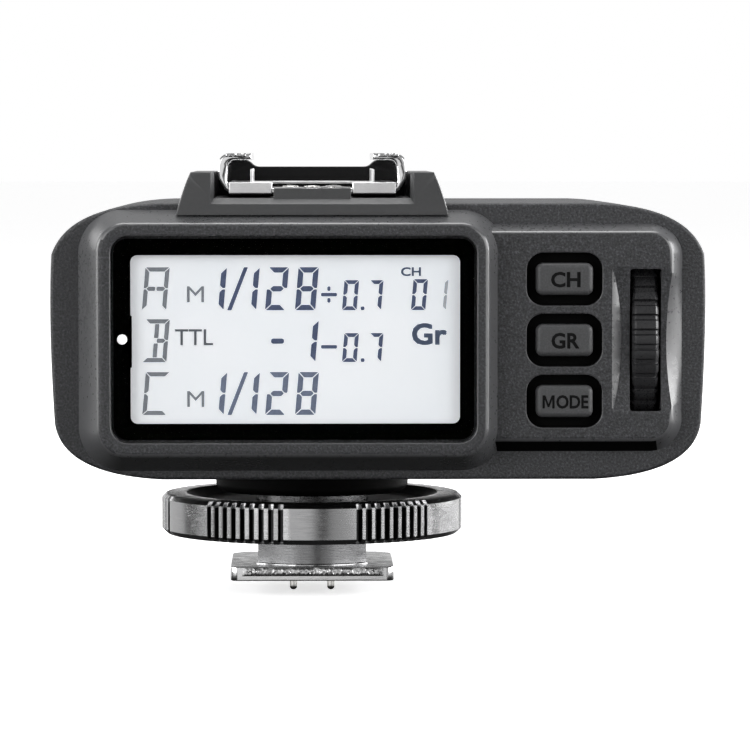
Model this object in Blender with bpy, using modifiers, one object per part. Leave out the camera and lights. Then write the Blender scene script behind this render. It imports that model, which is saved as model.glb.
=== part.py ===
"""Wireless flash trigger: a transmitter body with a camera foot, a flash receiver and a rear display.

The display faces -Y, +X is right of it and +Z is up. The origin is the centre of the foot plate's
underside. Every length below is in millimetres and is scaled to metres where a mesh is made.
"""

import math

import bmesh
import bpy
from mathutils import Matrix, Vector

MM = 0.001
GAP = 0.3
WALL = 2.0
WELD = 0.00001

# Body shell
BODY_X = 7.2
BODY_HALF_WIDTH = 36.0
BODY_BOTTOM = 12.95
BODY_TOP = 43.2
CORNER_RUN = 12.4
LOWER_BREAK_Z = 19.1
WIDEST_Z = 31.7
UPPER_BREAK_Z = 37.6
REAR_Y = -26.0
SEAM_Y = -8.0
FRONT_Y = 42.0
FRONT_FLAT_Y = 37.6

# Display
FRAME_Y = -31.0
FRAME_X = (-25.5, 21.0)
FRAME_Z = (13.95, 42.45)
FRAME_BEVEL = 1.75
FRAME_CORNER = 4.8
WINDOW_Y = -30.3
WINDOW_X = (-21.5, 17.5)
WINDOW_Z = (17.6, 39.4)
WINDOW_LEDGE = 0.4
LCD_X = (-19.9, 16.1)
LCD_Z = (19.0, 37.7)
LCD_Y = (-28.7, -26.9)
BACKLIGHT_Y = (-26.6, -24.6)
LCD_TRAY_Y = (-28.4, -23.4)
LCD_TRAY_WALL = 0.8

# Control panel
PANEL_Y = -28.2
PANEL_X = (16.0, 40.4)
PANEL_Z = (16.05, 40.9)
PANEL_BEVEL = 1.3
PANEL_CORNER = 3.6
KEY_X = 27.4
KEY_Z = (34.95, 28.3, 21.65)
KEY_NAMES = ("channel_key", "group_key", "mode_key")
KEY_SIZE = (6.2, 3.5)
WELL_SIZE = (8.2, 5.75)
POCKET_X = (22.4, 33.0)
POCKET_Z = (18.2, 38.6)
KEY_FACE_Y = -28.6
KEY_BACK_Y = -27.1
PLUNGER_END_Y = -23.4
PLUNGER_HALF = (2.2, 1.1)
SHEET_Y = (-26.2, -25.4)
SWITCH_Y = (-22.0, -20.6)
SWITCH_HALF = (2.0, 1.6)

# Select dial
DIAL_X = 36.25
DIAL_Y = -17.8
DIAL_Z = 28.3
DIAL_RADIUS = 11.0
DIAL_WIDTH = 2.9
DIAL_TEETH = 42
SLOT_WIDTH = 3.4
SLOT_HALF_HEIGHT = 7.75
ENCODER = ((33.2, -20.6, 24.6), (39.4, -4.6, 32.0))
SCOOP_X = (33.0, 41.0)
SCOOP_HALF_HEIGHT = 8.1
SCOOP_DEPTH = 2.0

# Circuit boards, as opposite corners
MAIN_BOARD = ((-22.6, -20.3, 17.4), (32.6, -18.7, 39.2))
ANTENNA_BOARD = ((-19.0, -6.0, 38.6), (-2.0, 4.0, 39.6))

# Camera foot
PLATE_SIZE = (18.6, 18.0)
PLATE_TOP = 1.6
PLATE_STEP = 0.08
PLATE_STEP_MARGIN = 0.15
NECK_LIFT = 0.3
NECK_HALF_WIDTH = 6.2
NECK_HALF_DEPTH = 7.4
NECK_TOP = 6.2
STEM_RADIUS = 6.3
STEM_TOP = 12.0
BORE_RADIUS = 4.9
INSERT_RADIUS = 4.6
PIN_RADIUS = 0.45
PIN_TIP_Z = -1.55
PIN_HEAD_Z = 4.6
PIN_PLACES = ((-2.15, -3.6), (2.15, -3.6), (-2.15, 3.6), (2.15, 3.6))
SYNC_PIN_RADIUS = 0.9
SYNC_PIN_TIP_Z = -0.4
LOCK_PIN_Y = 6.15
LOCK_PIN_RADIUS = 0.8
SCREW_PLACES = ((-4.6, -4.9), (4.6, -4.9), (-4.6, 4.9), (4.6, 4.9))
RING_RADIUS = 17.35
RING_Z = (4.85, 9.45)
RING_LOBES = 6
RIBS_PER_GROUP = 9
LOBE_SHARE = 0.43
RIB_DEPTH = 0.75
RING_TURN = 3.6
DISH_RADIUS = 14.4
DISH_DEPTH = 0.8
RING_CAVITY_RADIUS = 8.3
RING_CAVITY_Z = 7.3
CLAMP_RADIUS = 8.7
CLAMP_Z = (4.2, 4.7)
PEDESTAL_RADIUS = 11.1
PEDESTAL_BOTTOM = 9.75

# Flash receiver
BRACKET_REAR_Y = -28.7
BRACKET_FRONT_Y = 1.5
BRACKET_BASE = (14.85, 41.75)
BRACKET_TOP = (13.2, 46.55)
NOTCH_HALF_WIDTH = 10.65
NOTCH_FLOOR = 43.75
RAIL_Y = (-26.9, -5.3)
RAIL_OUTER = 10.3
RAIL_SHEET = 0.75
RAIL_Z = (44.1, 48.6)
LIP_EDGE = 6.6
STOP_TOP = 47.05
SHOULDER_TOP = 47.8
SHOULDER_X = (6.5, 7.2, 9.3, 10.35)
SHOULDER_FOOT = 46.2
LEAF_X = (4.7, 9.0)
LEAF_SHEET = 0.3
CONTACT_BLOCK_LOW = (-4.2, -22.0)
CONTACT_BLOCK_HIGH = (4.2, -9.4)
CONTACT_PLACES = ((0.0, -15.7), (-2.4, -19.4), (2.4, -19.4), (-2.4, -12.0), (2.4, -12.0))
PAD_RADIUS = 0.9
PAD_HEIGHT = 0.4

# Battery bay
TRAY_X = (-25.4, 26.6)
TRAY_Y = (6.0, 36.4)
TRAY_Z = (19.6, 36.6)
TRAY_END_WALL = 0.6
TRAY_FLOOR_WALL = 0.8
BATTERY_CONTACT = ((24.6, 8.0, 22.0), (25.2, 34.6, 34.4))
DOOR_Y = (6.9, 36.9)
DOOR_Z = (19.2, 37.2)
HINGE_X = -28.0
HINGE_Y = 37.6
HINGE_CLEARANCE = 1.5

# Controls on the top, the front and the right side
TEST_BUTTON = (8.5, 16.0)
TEST_BUTTON_RADIUS = 4.0
TEST_BUTTON_Z = (41.6, 44.6)
LAMP = (-1.0, 16.0)
LAMP_RADIUS = 1.2
LAMP_MIDDLE_Z = 42.3
LENS_CENTRE = (7.2, 28.0)
LENS_SIZE = (16.4, 8.4)
SLIDERS = (("power_switch", -4.0, 33.5), ("assist_switch", 8.0, 33.5))
SLIDER_TRAVEL = 2.5
STEM_HALF = 0.9
KNOB_X = (43.3, 44.3)
KNOB_HALF = (1.6, 1.3)
PORT_Y = (16.0, 32.0)
PORT_Z = (19.6, 28.4)
PORT_COVER_X = (41.5, 43.0)
USB_LOW = (35.0, 18.0, 22.2)
USB_HIGH = (40.8, 25.2, 25.4)
USB_SHEET = 0.5
SYNC_SOCKET = (37.9, 28.6, 23.8)
SYNC_SOCKET_RADIUS = 2.0
CASE_SCREWS = ((-18.0, 2.0), (32.4, 2.0), (-18.0, 33.0), (32.4, 33.0))
SCREW_HEAD_RADIUS = 1.4
SCREW_SHANK_RADIUS = 0.9

AXIS_TURN = {
    "X": Matrix(((0, 0, 1), (1, 0, 0), (0, 1, 0))).to_4x4(),
    "Y": Matrix(((1, 0, 0), (0, 0, -1), (0, 1, 0))).to_4x4(),
    "Z": Matrix.Identity(4),
}

for leftover in list(bpy.data.objects):
    bpy.data.objects.remove(leftover, do_unlink=True)

parts = bpy.data.collections.new("wireless_flash_trigger")
cutters = bpy.data.collections.new("cutters")
bpy.context.scene.collection.children.link(parts)
bpy.context.scene.collection.children.link(cutters)


def material(name, colour, roughness, metallic=0.0, alpha=1.0):
    """A Principled material with the piece's own colour and finish."""
    made = bpy.data.materials.new(name)
    made.use_nodes = True
    shader = made.node_tree.nodes["Principled BSDF"]
    shader.inputs["Base Color"].default_value = (*colour, 1.0)
    shader.inputs["Roughness"].default_value = roughness
    shader.inputs["Metallic"].default_value = metallic
    shader.inputs["Alpha"].default_value = alpha
    return made


FINISHES = {
    "shell": ((0.075, 0.077, 0.08), 0.6, 0.0),
    "smooth_black": ((0.05, 0.05, 0.052), 0.4, 0.0),
    "black": ((0.02, 0.02, 0.02), 0.5, 0.0),
    "rubber": ((0.02, 0.02, 0.022), 0.8, 0.0),
    "key": ((0.11, 0.11, 0.115), 0.5, 0.0),
    "window": ((0.01, 0.01, 0.012), 0.1, 0.0),
    "screen": ((0.85, 0.88, 0.93), 0.25, 0.0),
    "white": ((0.8, 0.82, 0.82), 0.5, 0.0),
    "chrome": ((0.85, 0.85, 0.86), 0.15, 1.0),
    "steel": ((0.6, 0.6, 0.61), 0.3, 1.0),
    "ring": ((0.3, 0.3, 0.31), 0.35, 0.6),
    "gold": ((0.83, 0.62, 0.25), 0.25, 1.0),
    "board": ((0.02, 0.16, 0.07), 0.5, 0.0),
    "red": ((0.35, 0.01, 0.01), 0.1, 0.0),
}


def piece(name, mesh, finish, centre=(0.0, 0.0, 0.0)):
    """An object in the parts collection, placed at its centre, with a material of its own."""
    made = bpy.data.objects.new(name, mesh)
    made.location = Vector(centre) * MM
    parts.objects.link(made)
    if finish:
        mesh.materials.append(material(name, *FINISHES[finish]))
    return made


def finished(shape, name):
    """A mesh with its faces pointing outwards."""
    bmesh.ops.recalc_face_normals(shape, faces=shape.faces)
    mesh = bpy.data.meshes.new(name)
    shape.to_mesh(mesh)
    shape.free()
    return mesh


def box(name, low, high, finish=None, bevel=0.0):
    """A block between two corners, with rounded edges where a bevel is given."""
    size = Vector(high) - Vector(low)
    shape = bmesh.new()
    bmesh.ops.create_cube(shape, size=1.0)
    bmesh.ops.scale(shape, vec=size * MM, verts=shape.verts)
    made = piece(name, finished(shape, name), finish, (Vector(high) + Vector(low)) / 2)
    if bevel:
        edge = made.modifiers.new("edge", "BEVEL")
        edge.width = bevel * MM
        edge.segments = 2
    return made


def rod(name, centre, axis, radius, length, finish=None, sides=24):
    """A round bar about its centre."""
    shape = bmesh.new()
    bmesh.ops.create_cone(
        shape,
        cap_ends=True,
        segments=sides,
        radius1=radius * MM,
        radius2=radius * MM,
        depth=length * MM,
    )
    turn = {
        "X": Matrix.Rotation(math.pi / 2, 4, "Y"),
        "Y": Matrix.Rotation(-math.pi / 2, 4, "X"),
        "Z": Matrix.Identity(4),
    }[axis]
    bmesh.ops.transform(shape, matrix=turn, verts=shape.verts)
    mesh = finished(shape, name)
    mesh.shade_smooth()
    mesh.set_sharp_from_angle(angle=math.radians(35))
    return piece(name, mesh, finish, centre)


def slab(name, outlines, axis, low, high, finish=None):
    """A flat outline, with any inner outlines as holes, extruded from low to high along an axis.

    Outline points are (y, z) for X, (x, z) for Y and (x, y) for Z.
    """
    curve = bpy.data.curves.new(name, "CURVE")
    curve.dimensions = "2D"
    curve.fill_mode = "BOTH"
    curve.extrude = (high - low) / 2 * MM
    for outline in outlines:
        spline = curve.splines.new("POLY")
        spline.points.add(len(outline) - 1)
        spline.use_cyclic_u = True
        for point, (u, v) in zip(spline.points, outline):
            point.co = (u * MM, v * MM, 0.0, 1.0)
    guide = bpy.data.objects.new(name + "_outline", curve)
    parts.objects.link(guide)
    bpy.context.view_layer.update()
    mesh = bpy.data.meshes.new_from_object(guide.evaluated_get(bpy.context.evaluated_depsgraph_get()))
    bpy.data.objects.remove(guide, do_unlink=True)
    shape = bmesh.new()
    shape.from_mesh(mesh)
    bmesh.ops.remove_doubles(shape, verts=shape.verts, dist=WELD)
    bmesh.ops.transform(shape, matrix=AXIS_TURN[axis], verts=shape.verts)
    middle = (high + low) / 2
    centre = {"X": (middle, 0, 0), "Y": (0, middle, 0), "Z": (0, 0, middle)}[axis]
    return piece(name, finished(shape, name), finish, centre)


def loft(name, sections, finish=None):
    """A closed skin over sections (y, outline of (x, z) points) that share one point count."""
    shape = bmesh.new()
    rings = [
        [shape.verts.new(Vector((x, y, z)) * MM) for x, z in outline] for y, outline in sections
    ]
    count = len(rings[0])
    for near, far in zip(rings, rings[1:]):
        for i in range(count):
            j = (i + 1) % count
            shape.faces.new((near[i], near[j], far[j], far[i]))
    shape.faces.new(rings[0])
    shape.faces.new(rings[-1])
    return piece(name, finished(shape, name), finish)


def turned(name, profile, centre, finish=None, steps=48):
    """A profile of (radius, height) points, outer side first from top to bottom, turned about Z."""
    mesh = bpy.data.meshes.new(name)
    points = [(r * MM, 0.0, z * MM) for r, z in profile]
    edges = [(i, i + 1) for i in range(len(points) - 1)]
    if profile[0][0] > 0.0:
        edges.append((len(points) - 1, 0))
    mesh.from_pydata(points, edges, [])
    made = piece(name, mesh, finish, centre)
    screw = made.modifiers.new("turn", "SCREW")
    screw.steps = steps
    screw.render_steps = steps
    screw.use_merge_vertices = True
    screw.merge_threshold = WELD
    return made


def combine(target, tool, operation):
    """A Boolean with a tool that joins the cutters collection."""
    boolean = target.modifiers.new(tool.name, "BOOLEAN")
    boolean.operation = operation
    boolean.object = tool
    parts.objects.unlink(tool)
    cutters.objects.link(tool)
    tool.hide_render = True
    tool.display_type = "WIRE"


def cut(target, *tools):
    for tool in tools:
        combine(target, tool, "DIFFERENCE")


def join(target, *tools):
    for tool in tools:
        combine(target, tool, "UNION")


def arc(centre, radius, start, end, steps):
    """Points on an arc, with angles in degrees."""
    angles = [math.radians(start + (end - start) * i / steps) for i in range(steps + 1)]
    return [(centre[0] + radius * math.cos(a), centre[1] + radius * math.sin(a)) for a in angles]


def rounded(u_range, v_range, radius, inset=0.0, steps=5):
    """A rounded rectangle's outline."""
    u0, u1 = u_range[0] + inset, u_range[1] - inset
    v0, v1 = v_range[0] + inset, v_range[1] - inset
    r = max(radius - inset, 0.2)
    middles = ((u1 - r, v1 - r), (u0 + r, v1 - r), (u0 + r, v0 + r), (u1 - r, v0 + r))
    return [p for i, middle in enumerate(middles) for p in arc(middle, r, 90 * i, 90 * i + 90, steps)]


def bend(start, control, end, steps=7):
    """Points on a quadratic curve from start to end."""
    points = []
    for i in range(steps + 1):
        t = i / steps
        weights = ((1 - t) ** 2, 2 * t * (1 - t), t * t)
        points.append(tuple(sum(w * p[k] for w, p in zip(weights, (start, control, end))) for k in (0, 1)))
    return points


def body_outline(inset=0.0):
    """The body's section: flat top and bottom, nearly straight sides and swept corners."""
    side = BODY_HALF_WIDTH - inset
    top = BODY_TOP - inset
    bottom = BODY_BOTTOM + inset
    run = side - CORNER_RUN + inset / 2
    lower = bend((run, bottom), (side - 1.5, bottom + 0.55), (side - 0.65, LOWER_BREAK_Z))
    upper = bend((side - 0.35, UPPER_BREAK_Z), (side - 2.2, top - 0.3), (run, top))
    right = lower + [(side, WIDEST_Z)] + upper
    left = [(-x, z) for x, z in reversed(right)]
    return [(x + BODY_X, z) for x, z in right + left]


def frame_body(name, inset):
    """The display frame's solid, moved inwards by an inset."""
    spread = ((REAR_Y + 1, inset - 0.2), (REAR_Y, inset), (FRAME_Y, FRAME_BEVEL + inset))
    return loft(name, [(y, rounded(FRAME_X, FRAME_Z, FRAME_CORNER, grow)) for y, grow in spread])


def panel_body(name):
    """The control panel's solid."""
    spread = ((REAR_Y + 1, -0.2), (REAR_Y, 0.0), (PANEL_Y, PANEL_BEVEL))
    return loft(name, [(y, rounded(PANEL_X, PANEL_Z, PANEL_CORNER, grow)) for y, grow in spread])


def rear_cover():
    """The rear shell, with the raised display frame and control panel moulded on it."""
    cover = slab("rear_cover", [body_outline()], "Y", REAR_Y, SEAM_Y, "shell")
    edge = cover.modifiers.new("edge", "BEVEL")
    edge.width = 0.35 * MM
    edge.segments = 2
    join(cover, panel_body("panel_body"), frame_body("frame_body", 0.0))
    pocket = rounded(POCKET_X, POCKET_Z, 1.0)
    lcd_hole = rounded(WINDOW_X, WINDOW_Z, 0.9, WINDOW_LEDGE)
    wells = [rounded_rect(KEY_X, z, WELL_SIZE, 1.8) for z in KEY_Z]
    slot_half = SLOT_WIDTH / 2
    cut(
        cover,
        slab("rear_hollow", [body_outline(WALL)], "Y", REAR_Y + WALL, SEAM_Y + 1),
        slab("window_seat", [rounded(WINDOW_X, WINDOW_Z, 1.6, -GAP)], "Y", FRAME_Y - 1, WINDOW_Y + 1.5),
        slab("lcd_hole", [lcd_hole], "Y", FRAME_Y, REAR_Y + WALL + 1),
        slab("panel_hollow", [pocket], "Y", PANEL_Y + 1.6, REAR_Y + WALL + 1),
        *[slab(f"well_{i}", [well], "Y", PANEL_Y - 1, PANEL_Y + 2) for i, well in enumerate(wells)],
        scoop_cutter(),
        box(
            "dial_slot",
            (DIAL_X - slot_half, PANEL_Y - 1, DIAL_Z - SLOT_HALF_HEIGHT),
            (DIAL_X + slot_half, REAR_Y + WALL + 1, DIAL_Z + SLOT_HALF_HEIGHT),
        ),
        rod("dial_room", (DIAL_X, DIAL_Y, DIAL_Z), "X", DIAL_RADIUS + 0.5, SLOT_WIDTH, sides=64),
    )


def rounded_rect(x, z, size, radius):
    """A rounded rectangle about a centre."""
    half = (size[0] / 2, size[1] / 2)
    return rounded((x - half[0], x + half[0]), (z - half[1], z + half[1]), radius, steps=4)


def scoop_cutter():
    """The finger dish round the dial: a shallow cylinder across X with one leaning side."""
    half, depth = SCOOP_HALF_HEIGHT, SCOOP_DEPTH
    radius = (half * half + depth * depth) / (2 * depth)
    middle = (PANEL_Y + depth - radius, DIAL_Z)
    sweep = math.degrees(math.asin(half / radius))
    floor = arc(middle, radius, -sweep, sweep, 12)
    outline = [(PANEL_Y - 1, DIAL_Z - half)] + floor + [(PANEL_Y - 1, DIAL_Z + half)]
    return slab("scoop", [outline], "X", SCOOP_X[0], SCOOP_X[1])


def front_housing():
    """The front shell, with the battery opening on its left and the switch slots on its right."""
    skin = [(SEAM_Y + GAP, 0.0), (20.0, 0.05), (FRONT_FLAT_Y, 0.3), (39.5, 0.9), (41.0, 2.2), (FRONT_Y, 4.8)]
    hollow = [(SEAM_Y - 1, WALL), (FRONT_FLAT_Y, WALL + 0.4), (FRONT_Y - WALL, WALL + 3.5)]
    housing = loft("front_housing", [(y, body_outline(inset)) for y, inset in skin], "shell")
    door_low, door_high = DOOR_Z[0] - GAP, DOOR_Z[1] + GAP
    hinge = (HINGE_X, HINGE_Y, sum(DOOR_Z) / 2)
    lens_hole = rounded_rect(*LENS_CENTRE, (LENS_SIZE[0] + 2 * GAP, LENS_SIZE[1] + 2 * GAP), 2.5)
    cut(
        housing,
        loft("front_hollow", [(y, body_outline(inset)) for y, inset in hollow]),
        box("door_opening", (-32, DOOR_Y[0] - GAP, door_low), (-26, DOOR_Y[1] + GAP, door_high)),
        rod("hinge_recess", hinge, "Z", HINGE_CLEARANCE, door_high - door_low),
        rod("stem_hole", (0, 0, BODY_BOTTOM), "Z", STEM_RADIUS + GAP, 8.0),
        rod("test_button_hole", (*TEST_BUTTON, BODY_TOP), "Z", TEST_BUTTON_RADIUS + GAP, 8.0, sides=32),
        rod("lamp_hole", (*LAMP, BODY_TOP), "Z", LAMP_RADIUS + GAP, 8.0),
        slab("assist_hole", [lens_hole], "Y", FRONT_Y - 4, FRONT_Y + 1),
        box("port_opening", (38.5, PORT_Y[0], PORT_Z[0]), (44, PORT_Y[1], PORT_Z[1])),
        *[slider_slot(*slider) for slider in SLIDERS],
        *[rod(f"screw_hole_{i}", (*at, BODY_BOTTOM), "Z", 1.7, 8.0) for i, at in enumerate(CASE_SCREWS)],
    )


def slider_slot(name, y, z):
    """The slot a side switch's stem runs along."""
    half = STEM_HALF + GAP
    return box(f"{name}_slot", (40, y - half, z - half), (44, y + half + SLIDER_TRAVEL, z + half))


def display_stack():
    """Window, panel, light guide and their tray, from the outside in."""
    (left, right), (low, high), wall = LCD_X, LCD_Z, LCD_TRAY_WALL
    front, back = LCD_TRAY_Y
    slab("display_window", [rounded(WINDOW_X, WINDOW_Z, 1.5)], "Y", WINDOW_Y, WINDOW_Y + 1.2, "window")
    box("lcd_panel", (left, LCD_Y[0], low), (right, LCD_Y[1], high), "screen", 0.15)
    box("lcd_backlight", (left, BACKLIGHT_Y[0], low), (right, BACKLIGHT_Y[1], high), "white", 0.15)
    tray = box("lcd_tray", (left - wall, front, low - wall), (right + wall, back, high + wall), "white")
    cut(tray, box("tray_room", (left - GAP, front - 1, low - GAP), (right + GAP, back - wall, high + GAP)))


def keys():
    """Three caps on plungers, the rubber sheet they pass through and the switch behind each."""
    for name, z in zip(KEY_NAMES, KEY_Z):
        cap = block(name, z, (KEY_SIZE[0] / 2, KEY_SIZE[1] / 2), (KEY_FACE_Y, KEY_BACK_Y), "key", 0.4)
        join(cap, block(name + "_plunger", z, PLUNGER_HALF, (KEY_BACK_Y - 0.2, PLUNGER_END_Y)))
        switch = block(name + "_switch", z, SWITCH_HALF, SWITCH_Y, "steel", 0.15)
        join(switch, rod(name + "_dome", (KEY_X, SWITCH_Y[0] - 0.2, z), "Y", 0.9, 0.8, sides=20))
    sheet = rounded(POCKET_X, POCKET_Z, 1.0, 0.4)
    hole_size = [2 * (half + GAP) for half in PLUNGER_HALF]
    holes = [rounded_rect(KEY_X, z, hole_size, 0.4) for z in KEY_Z]
    slab("key_sheet", [sheet] + holes, "Y", *SHEET_Y, "rubber")


def block(name, z, half, y_range, finish=None, bevel=0.0):
    """A block on the keys' line at a height, with half its width and height given."""
    low = (KEY_X - half[0], y_range[0], z - half[1])
    high = (KEY_X + half[0], y_range[1], z + half[1])
    return box(name, low, high, finish, bevel)


def wheel_outline(radius, depth, teeth, land, centre=(0.0, 0.0)):
    """A toothed rim: flat lands parted by grooves."""
    outline = []
    pitch = 360 / teeth
    for i in range(teeth):
        start = i * pitch
        outline += arc(centre, radius, start, start + pitch * land, 1)
        outline += arc(centre, radius - depth, start + pitch * (land + 0.12), start + pitch * 0.88, 1)
    return outline


def select_dial():
    """The thumb wheel, its axle and the encoder fork that carries them."""
    half = DIAL_WIDTH / 2
    rim = wheel_outline(DIAL_RADIUS, 0.55, DIAL_TEETH, 0.5)
    bore = arc((0, 0), 1.3, 0, 345, 23)
    wheel = slab("select_dial", [rim, bore], "X", -half, half, "smooth_black")
    wheel.location = Vector((DIAL_X, DIAL_Y, DIAL_Z)) * MM
    rod("dial_axle", (DIAL_X, DIAL_Y, DIAL_Z), "X", 1.0, 6.6, "steel")
    fork = box("dial_encoder", *ENCODER, "black")
    room = half + 0.5
    cut(
        fork,
        box("encoder_room", (DIAL_X - room, -21, 20), (DIAL_X + room, ENCODER[1][1] - 1.4, 36)),
        rod("axle_hole", (DIAL_X, DIAL_Y, DIAL_Z), "X", 1.25, 12.0),
    )


def main_board():
    """The circuit board behind the display and the small radio board under the top."""
    box("main_board", *MAIN_BOARD, "board", 0.2)
    box("antenna_board", *ANTENNA_BOARD, "board", 0.1)


def foot():
    """Plate, neck with its stem, insert with sprung pins, and the four screws."""
    half_x, half_y, corner = PLATE_SIZE[0] / 2, PLATE_SIZE[1] / 2, 1.6
    outline = [
        (-half_x, -half_y + 0.5),
        (-half_x + 0.5, -half_y),
        (half_x - 0.5, -half_y),
        (half_x, -half_y + 0.5),
        (half_x, half_y - corner),
        (half_x - corner, half_y),
        (-half_x + corner, half_y),
        (-half_x, half_y - corner),
    ]
    plate = slab("foot_plate", [outline], "Z", 0.0, PLATE_TOP, "chrome")
    join(plate, slab("plate_step", [neck_outline(PLATE_STEP_MARGIN)], "Z", PLATE_TOP / 2, PLATE_TOP + PLATE_STEP))
    cut(
        plate,
        rod("plate_bore", (0, 0, 0), "Z", BORE_RADIUS, 8.0, sides=40),
        rod("plate_lock_hole", (0, LOCK_PIN_Y, 0), "Z", LOCK_PIN_RADIUS + 0.15, 8.0),
        *[rod(f"plate_screw_hole_{i}", (x, y, 0), "Z", 1.5, 8.0) for i, (x, y) in enumerate(SCREW_PLACES)],
    )
    neck = slab("foot_neck", [neck_outline(0.0)], "Z", PLATE_TOP + NECK_LIFT, NECK_TOP, "steel")
    stem_foot = NECK_TOP - 1
    stem_middle = (0, 0, (stem_foot + STEM_TOP) / 2)
    join(neck, rod("stem", stem_middle, "Z", STEM_RADIUS, STEM_TOP - stem_foot, sides=48))
    cut(
        neck,
        rod("neck_bore", (0, 0, 7), "Z", BORE_RADIUS, 20.0, sides=40),
        rod("neck_lock_hole", (0, LOCK_PIN_Y, 4), "Z", LOCK_PIN_RADIUS + 0.15, 12.0),
        *[rod(f"neck_screw_hole_{i}", (x, y, 0), "Z", 0.9, 10.0) for i, (x, y) in enumerate(SCREW_PLACES)],
    )
    insert = rod("foot_insert", (0, 0, 1.7), "Z", INSERT_RADIUS, 3.2, "black", sides=40)
    cut(insert, rod("sync_hole", (0, 0, 2), "Z", SYNC_PIN_RADIUS + 0.2, 8.0))
    for i, at in enumerate(PIN_PLACES):
        cut(insert, rod(f"pin_hole_{i}", (*at, 2), "Z", PIN_RADIUS + 0.2, 8.0, sides=16))
    contact_pin("sync_pin", 0.0, 0.0, SYNC_PIN_RADIUS, SYNC_PIN_TIP_Z)
    for i, (x, y) in enumerate(PIN_PLACES, 1):
        contact_pin(f"data_pin_{i}", x, y, PIN_RADIUS, PIN_TIP_Z)
    for i, (x, y) in enumerate(SCREW_PLACES, 1):
        profile = [(0.0, 4.2), (0.65, 4.2), (0.65, 1.1), (1.25, 0.15), (0.0, 0.15)]
        turned(f"foot_screw_{i}", profile, (x, y, 0.0), "steel", 20)


def neck_outline(grow):
    """The neck's section: flat sides between the camera's rails and bowed ends."""
    half = NECK_HALF_WIDTH + grow
    across = [-half + 2 * half * i / 8 for i in range(9)]
    bow = [(x, NECK_HALF_DEPTH + grow - x * x / 16.0) for x in across]
    return [(x, -y) for x, y in bow] + list(reversed(bow))


def contact_pin(name, x, y, radius, tip):
    """A sprung pin with a rounded tip."""
    nose = [(radius, tip + radius * 0.7), (radius * 0.72, tip + radius * 0.2), (0.0, tip)]
    turned(name, [(0.0, PIN_HEAD_Z), (radius, PIN_HEAD_Z)] + nose, (x, y, 0.0), "gold", 16)


def lock_parts():
    """Knurled ring, the clamp disc it pushes down and the locking pin."""
    low, high = RING_Z
    outline = []
    group = 360 / RING_LOBES
    for lobe in range(RING_LOBES):
        centre = -90 + RING_TURN + lobe * group
        half = group * LOBE_SHARE / 2
        outline += arc((0, 0), RING_RADIUS, centre - half, centre + half, 5)
        span = group - 2 * half
        for rib in range(RIBS_PER_GROUP):
            start = centre + half + span * rib / RIBS_PER_GROUP
            pitch = span / RIBS_PER_GROUP
            outline += arc((0, 0), RING_RADIUS - RIB_DEPTH, start + pitch * 0.22, start + pitch * 0.42, 1)
            if rib < RIBS_PER_GROUP - 1:
                outline += arc((0, 0), RING_RADIUS - 0.05, start + pitch * 0.72, start + pitch * 0.92, 1)
    ring = slab("lock_ring", [outline], "Z", low, high, "ring")
    bore = [
        (0.0, high + 1),
        (DISH_RADIUS, high + 1),
        (DISH_RADIUS, high - 0.05),
        (DISH_RADIUS - 2, high - DISH_DEPTH),
        (STEM_RADIUS + 0.15, high - DISH_DEPTH),
        (STEM_RADIUS + 0.15, RING_CAVITY_Z),
        (RING_CAVITY_RADIUS, RING_CAVITY_Z),
        (RING_CAVITY_RADIUS, low - 1),
        (0.0, low - 1),
    ]
    cut(ring, turned("ring_bore", bore, (0, 0, 0), steps=56), edge_trimmer())
    rim = arc((0, 0), CLAMP_RADIUS, 0, 354, 59)
    slab("clamp_disc", [rim, neck_outline(0.3)], "Z", *CLAMP_Z, "black")
    profile = [(0.0, 6.9), (LOCK_PIN_RADIUS, 6.9), (LOCK_PIN_RADIUS, 0.6), (0.5, 0.25), (0.0, 0.25)]
    turned("lock_pin", profile, (0, LOCK_PIN_Y, 0), "steel", 20)


def edge_trimmer():
    """A ring of waste that chamfers the knurled ring's two outer edges."""
    low, high = RING_Z
    outer = RING_RADIUS + 2
    inner = RING_RADIUS + 0.02
    chamfer = 0.55
    profile = [
        (outer, high + 1),
        (outer, low - 1),
        (inner - chamfer - 1, low - 1),
        (inner - chamfer, low),
        (inner, low + chamfer),
        (inner, high - chamfer),
        (inner - chamfer, high),
        (inner - chamfer - 1, high + 1),
    ]
    return turned("ring_edges", profile, (0, 0, 0), steps=72)


def pedestal():
    """The black boss between the body and the ring."""
    profile = [
        (PEDESTAL_RADIUS, BODY_BOTTOM - GAP),
        (PEDESTAL_RADIUS, PEDESTAL_BOTTOM + 0.5),
        (PEDESTAL_RADIUS - 0.5, PEDESTAL_BOTTOM),
        (STEM_RADIUS + GAP, PEDESTAL_BOTTOM),
        (STEM_RADIUS + GAP, BODY_BOTTOM - GAP),
    ]
    turned("foot_pedestal", profile, (0, 0, 0), "black", 56)


def bracket_side(sign):
    """One post's outer flank, from its foot to its top, bowed outwards."""
    base, top = BRACKET_BASE, BRACKET_TOP
    return [(sign * x, z) for x, z in bend(base, (base[0] - 1.0, top[1] - 1.6), top, 5)]


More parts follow.
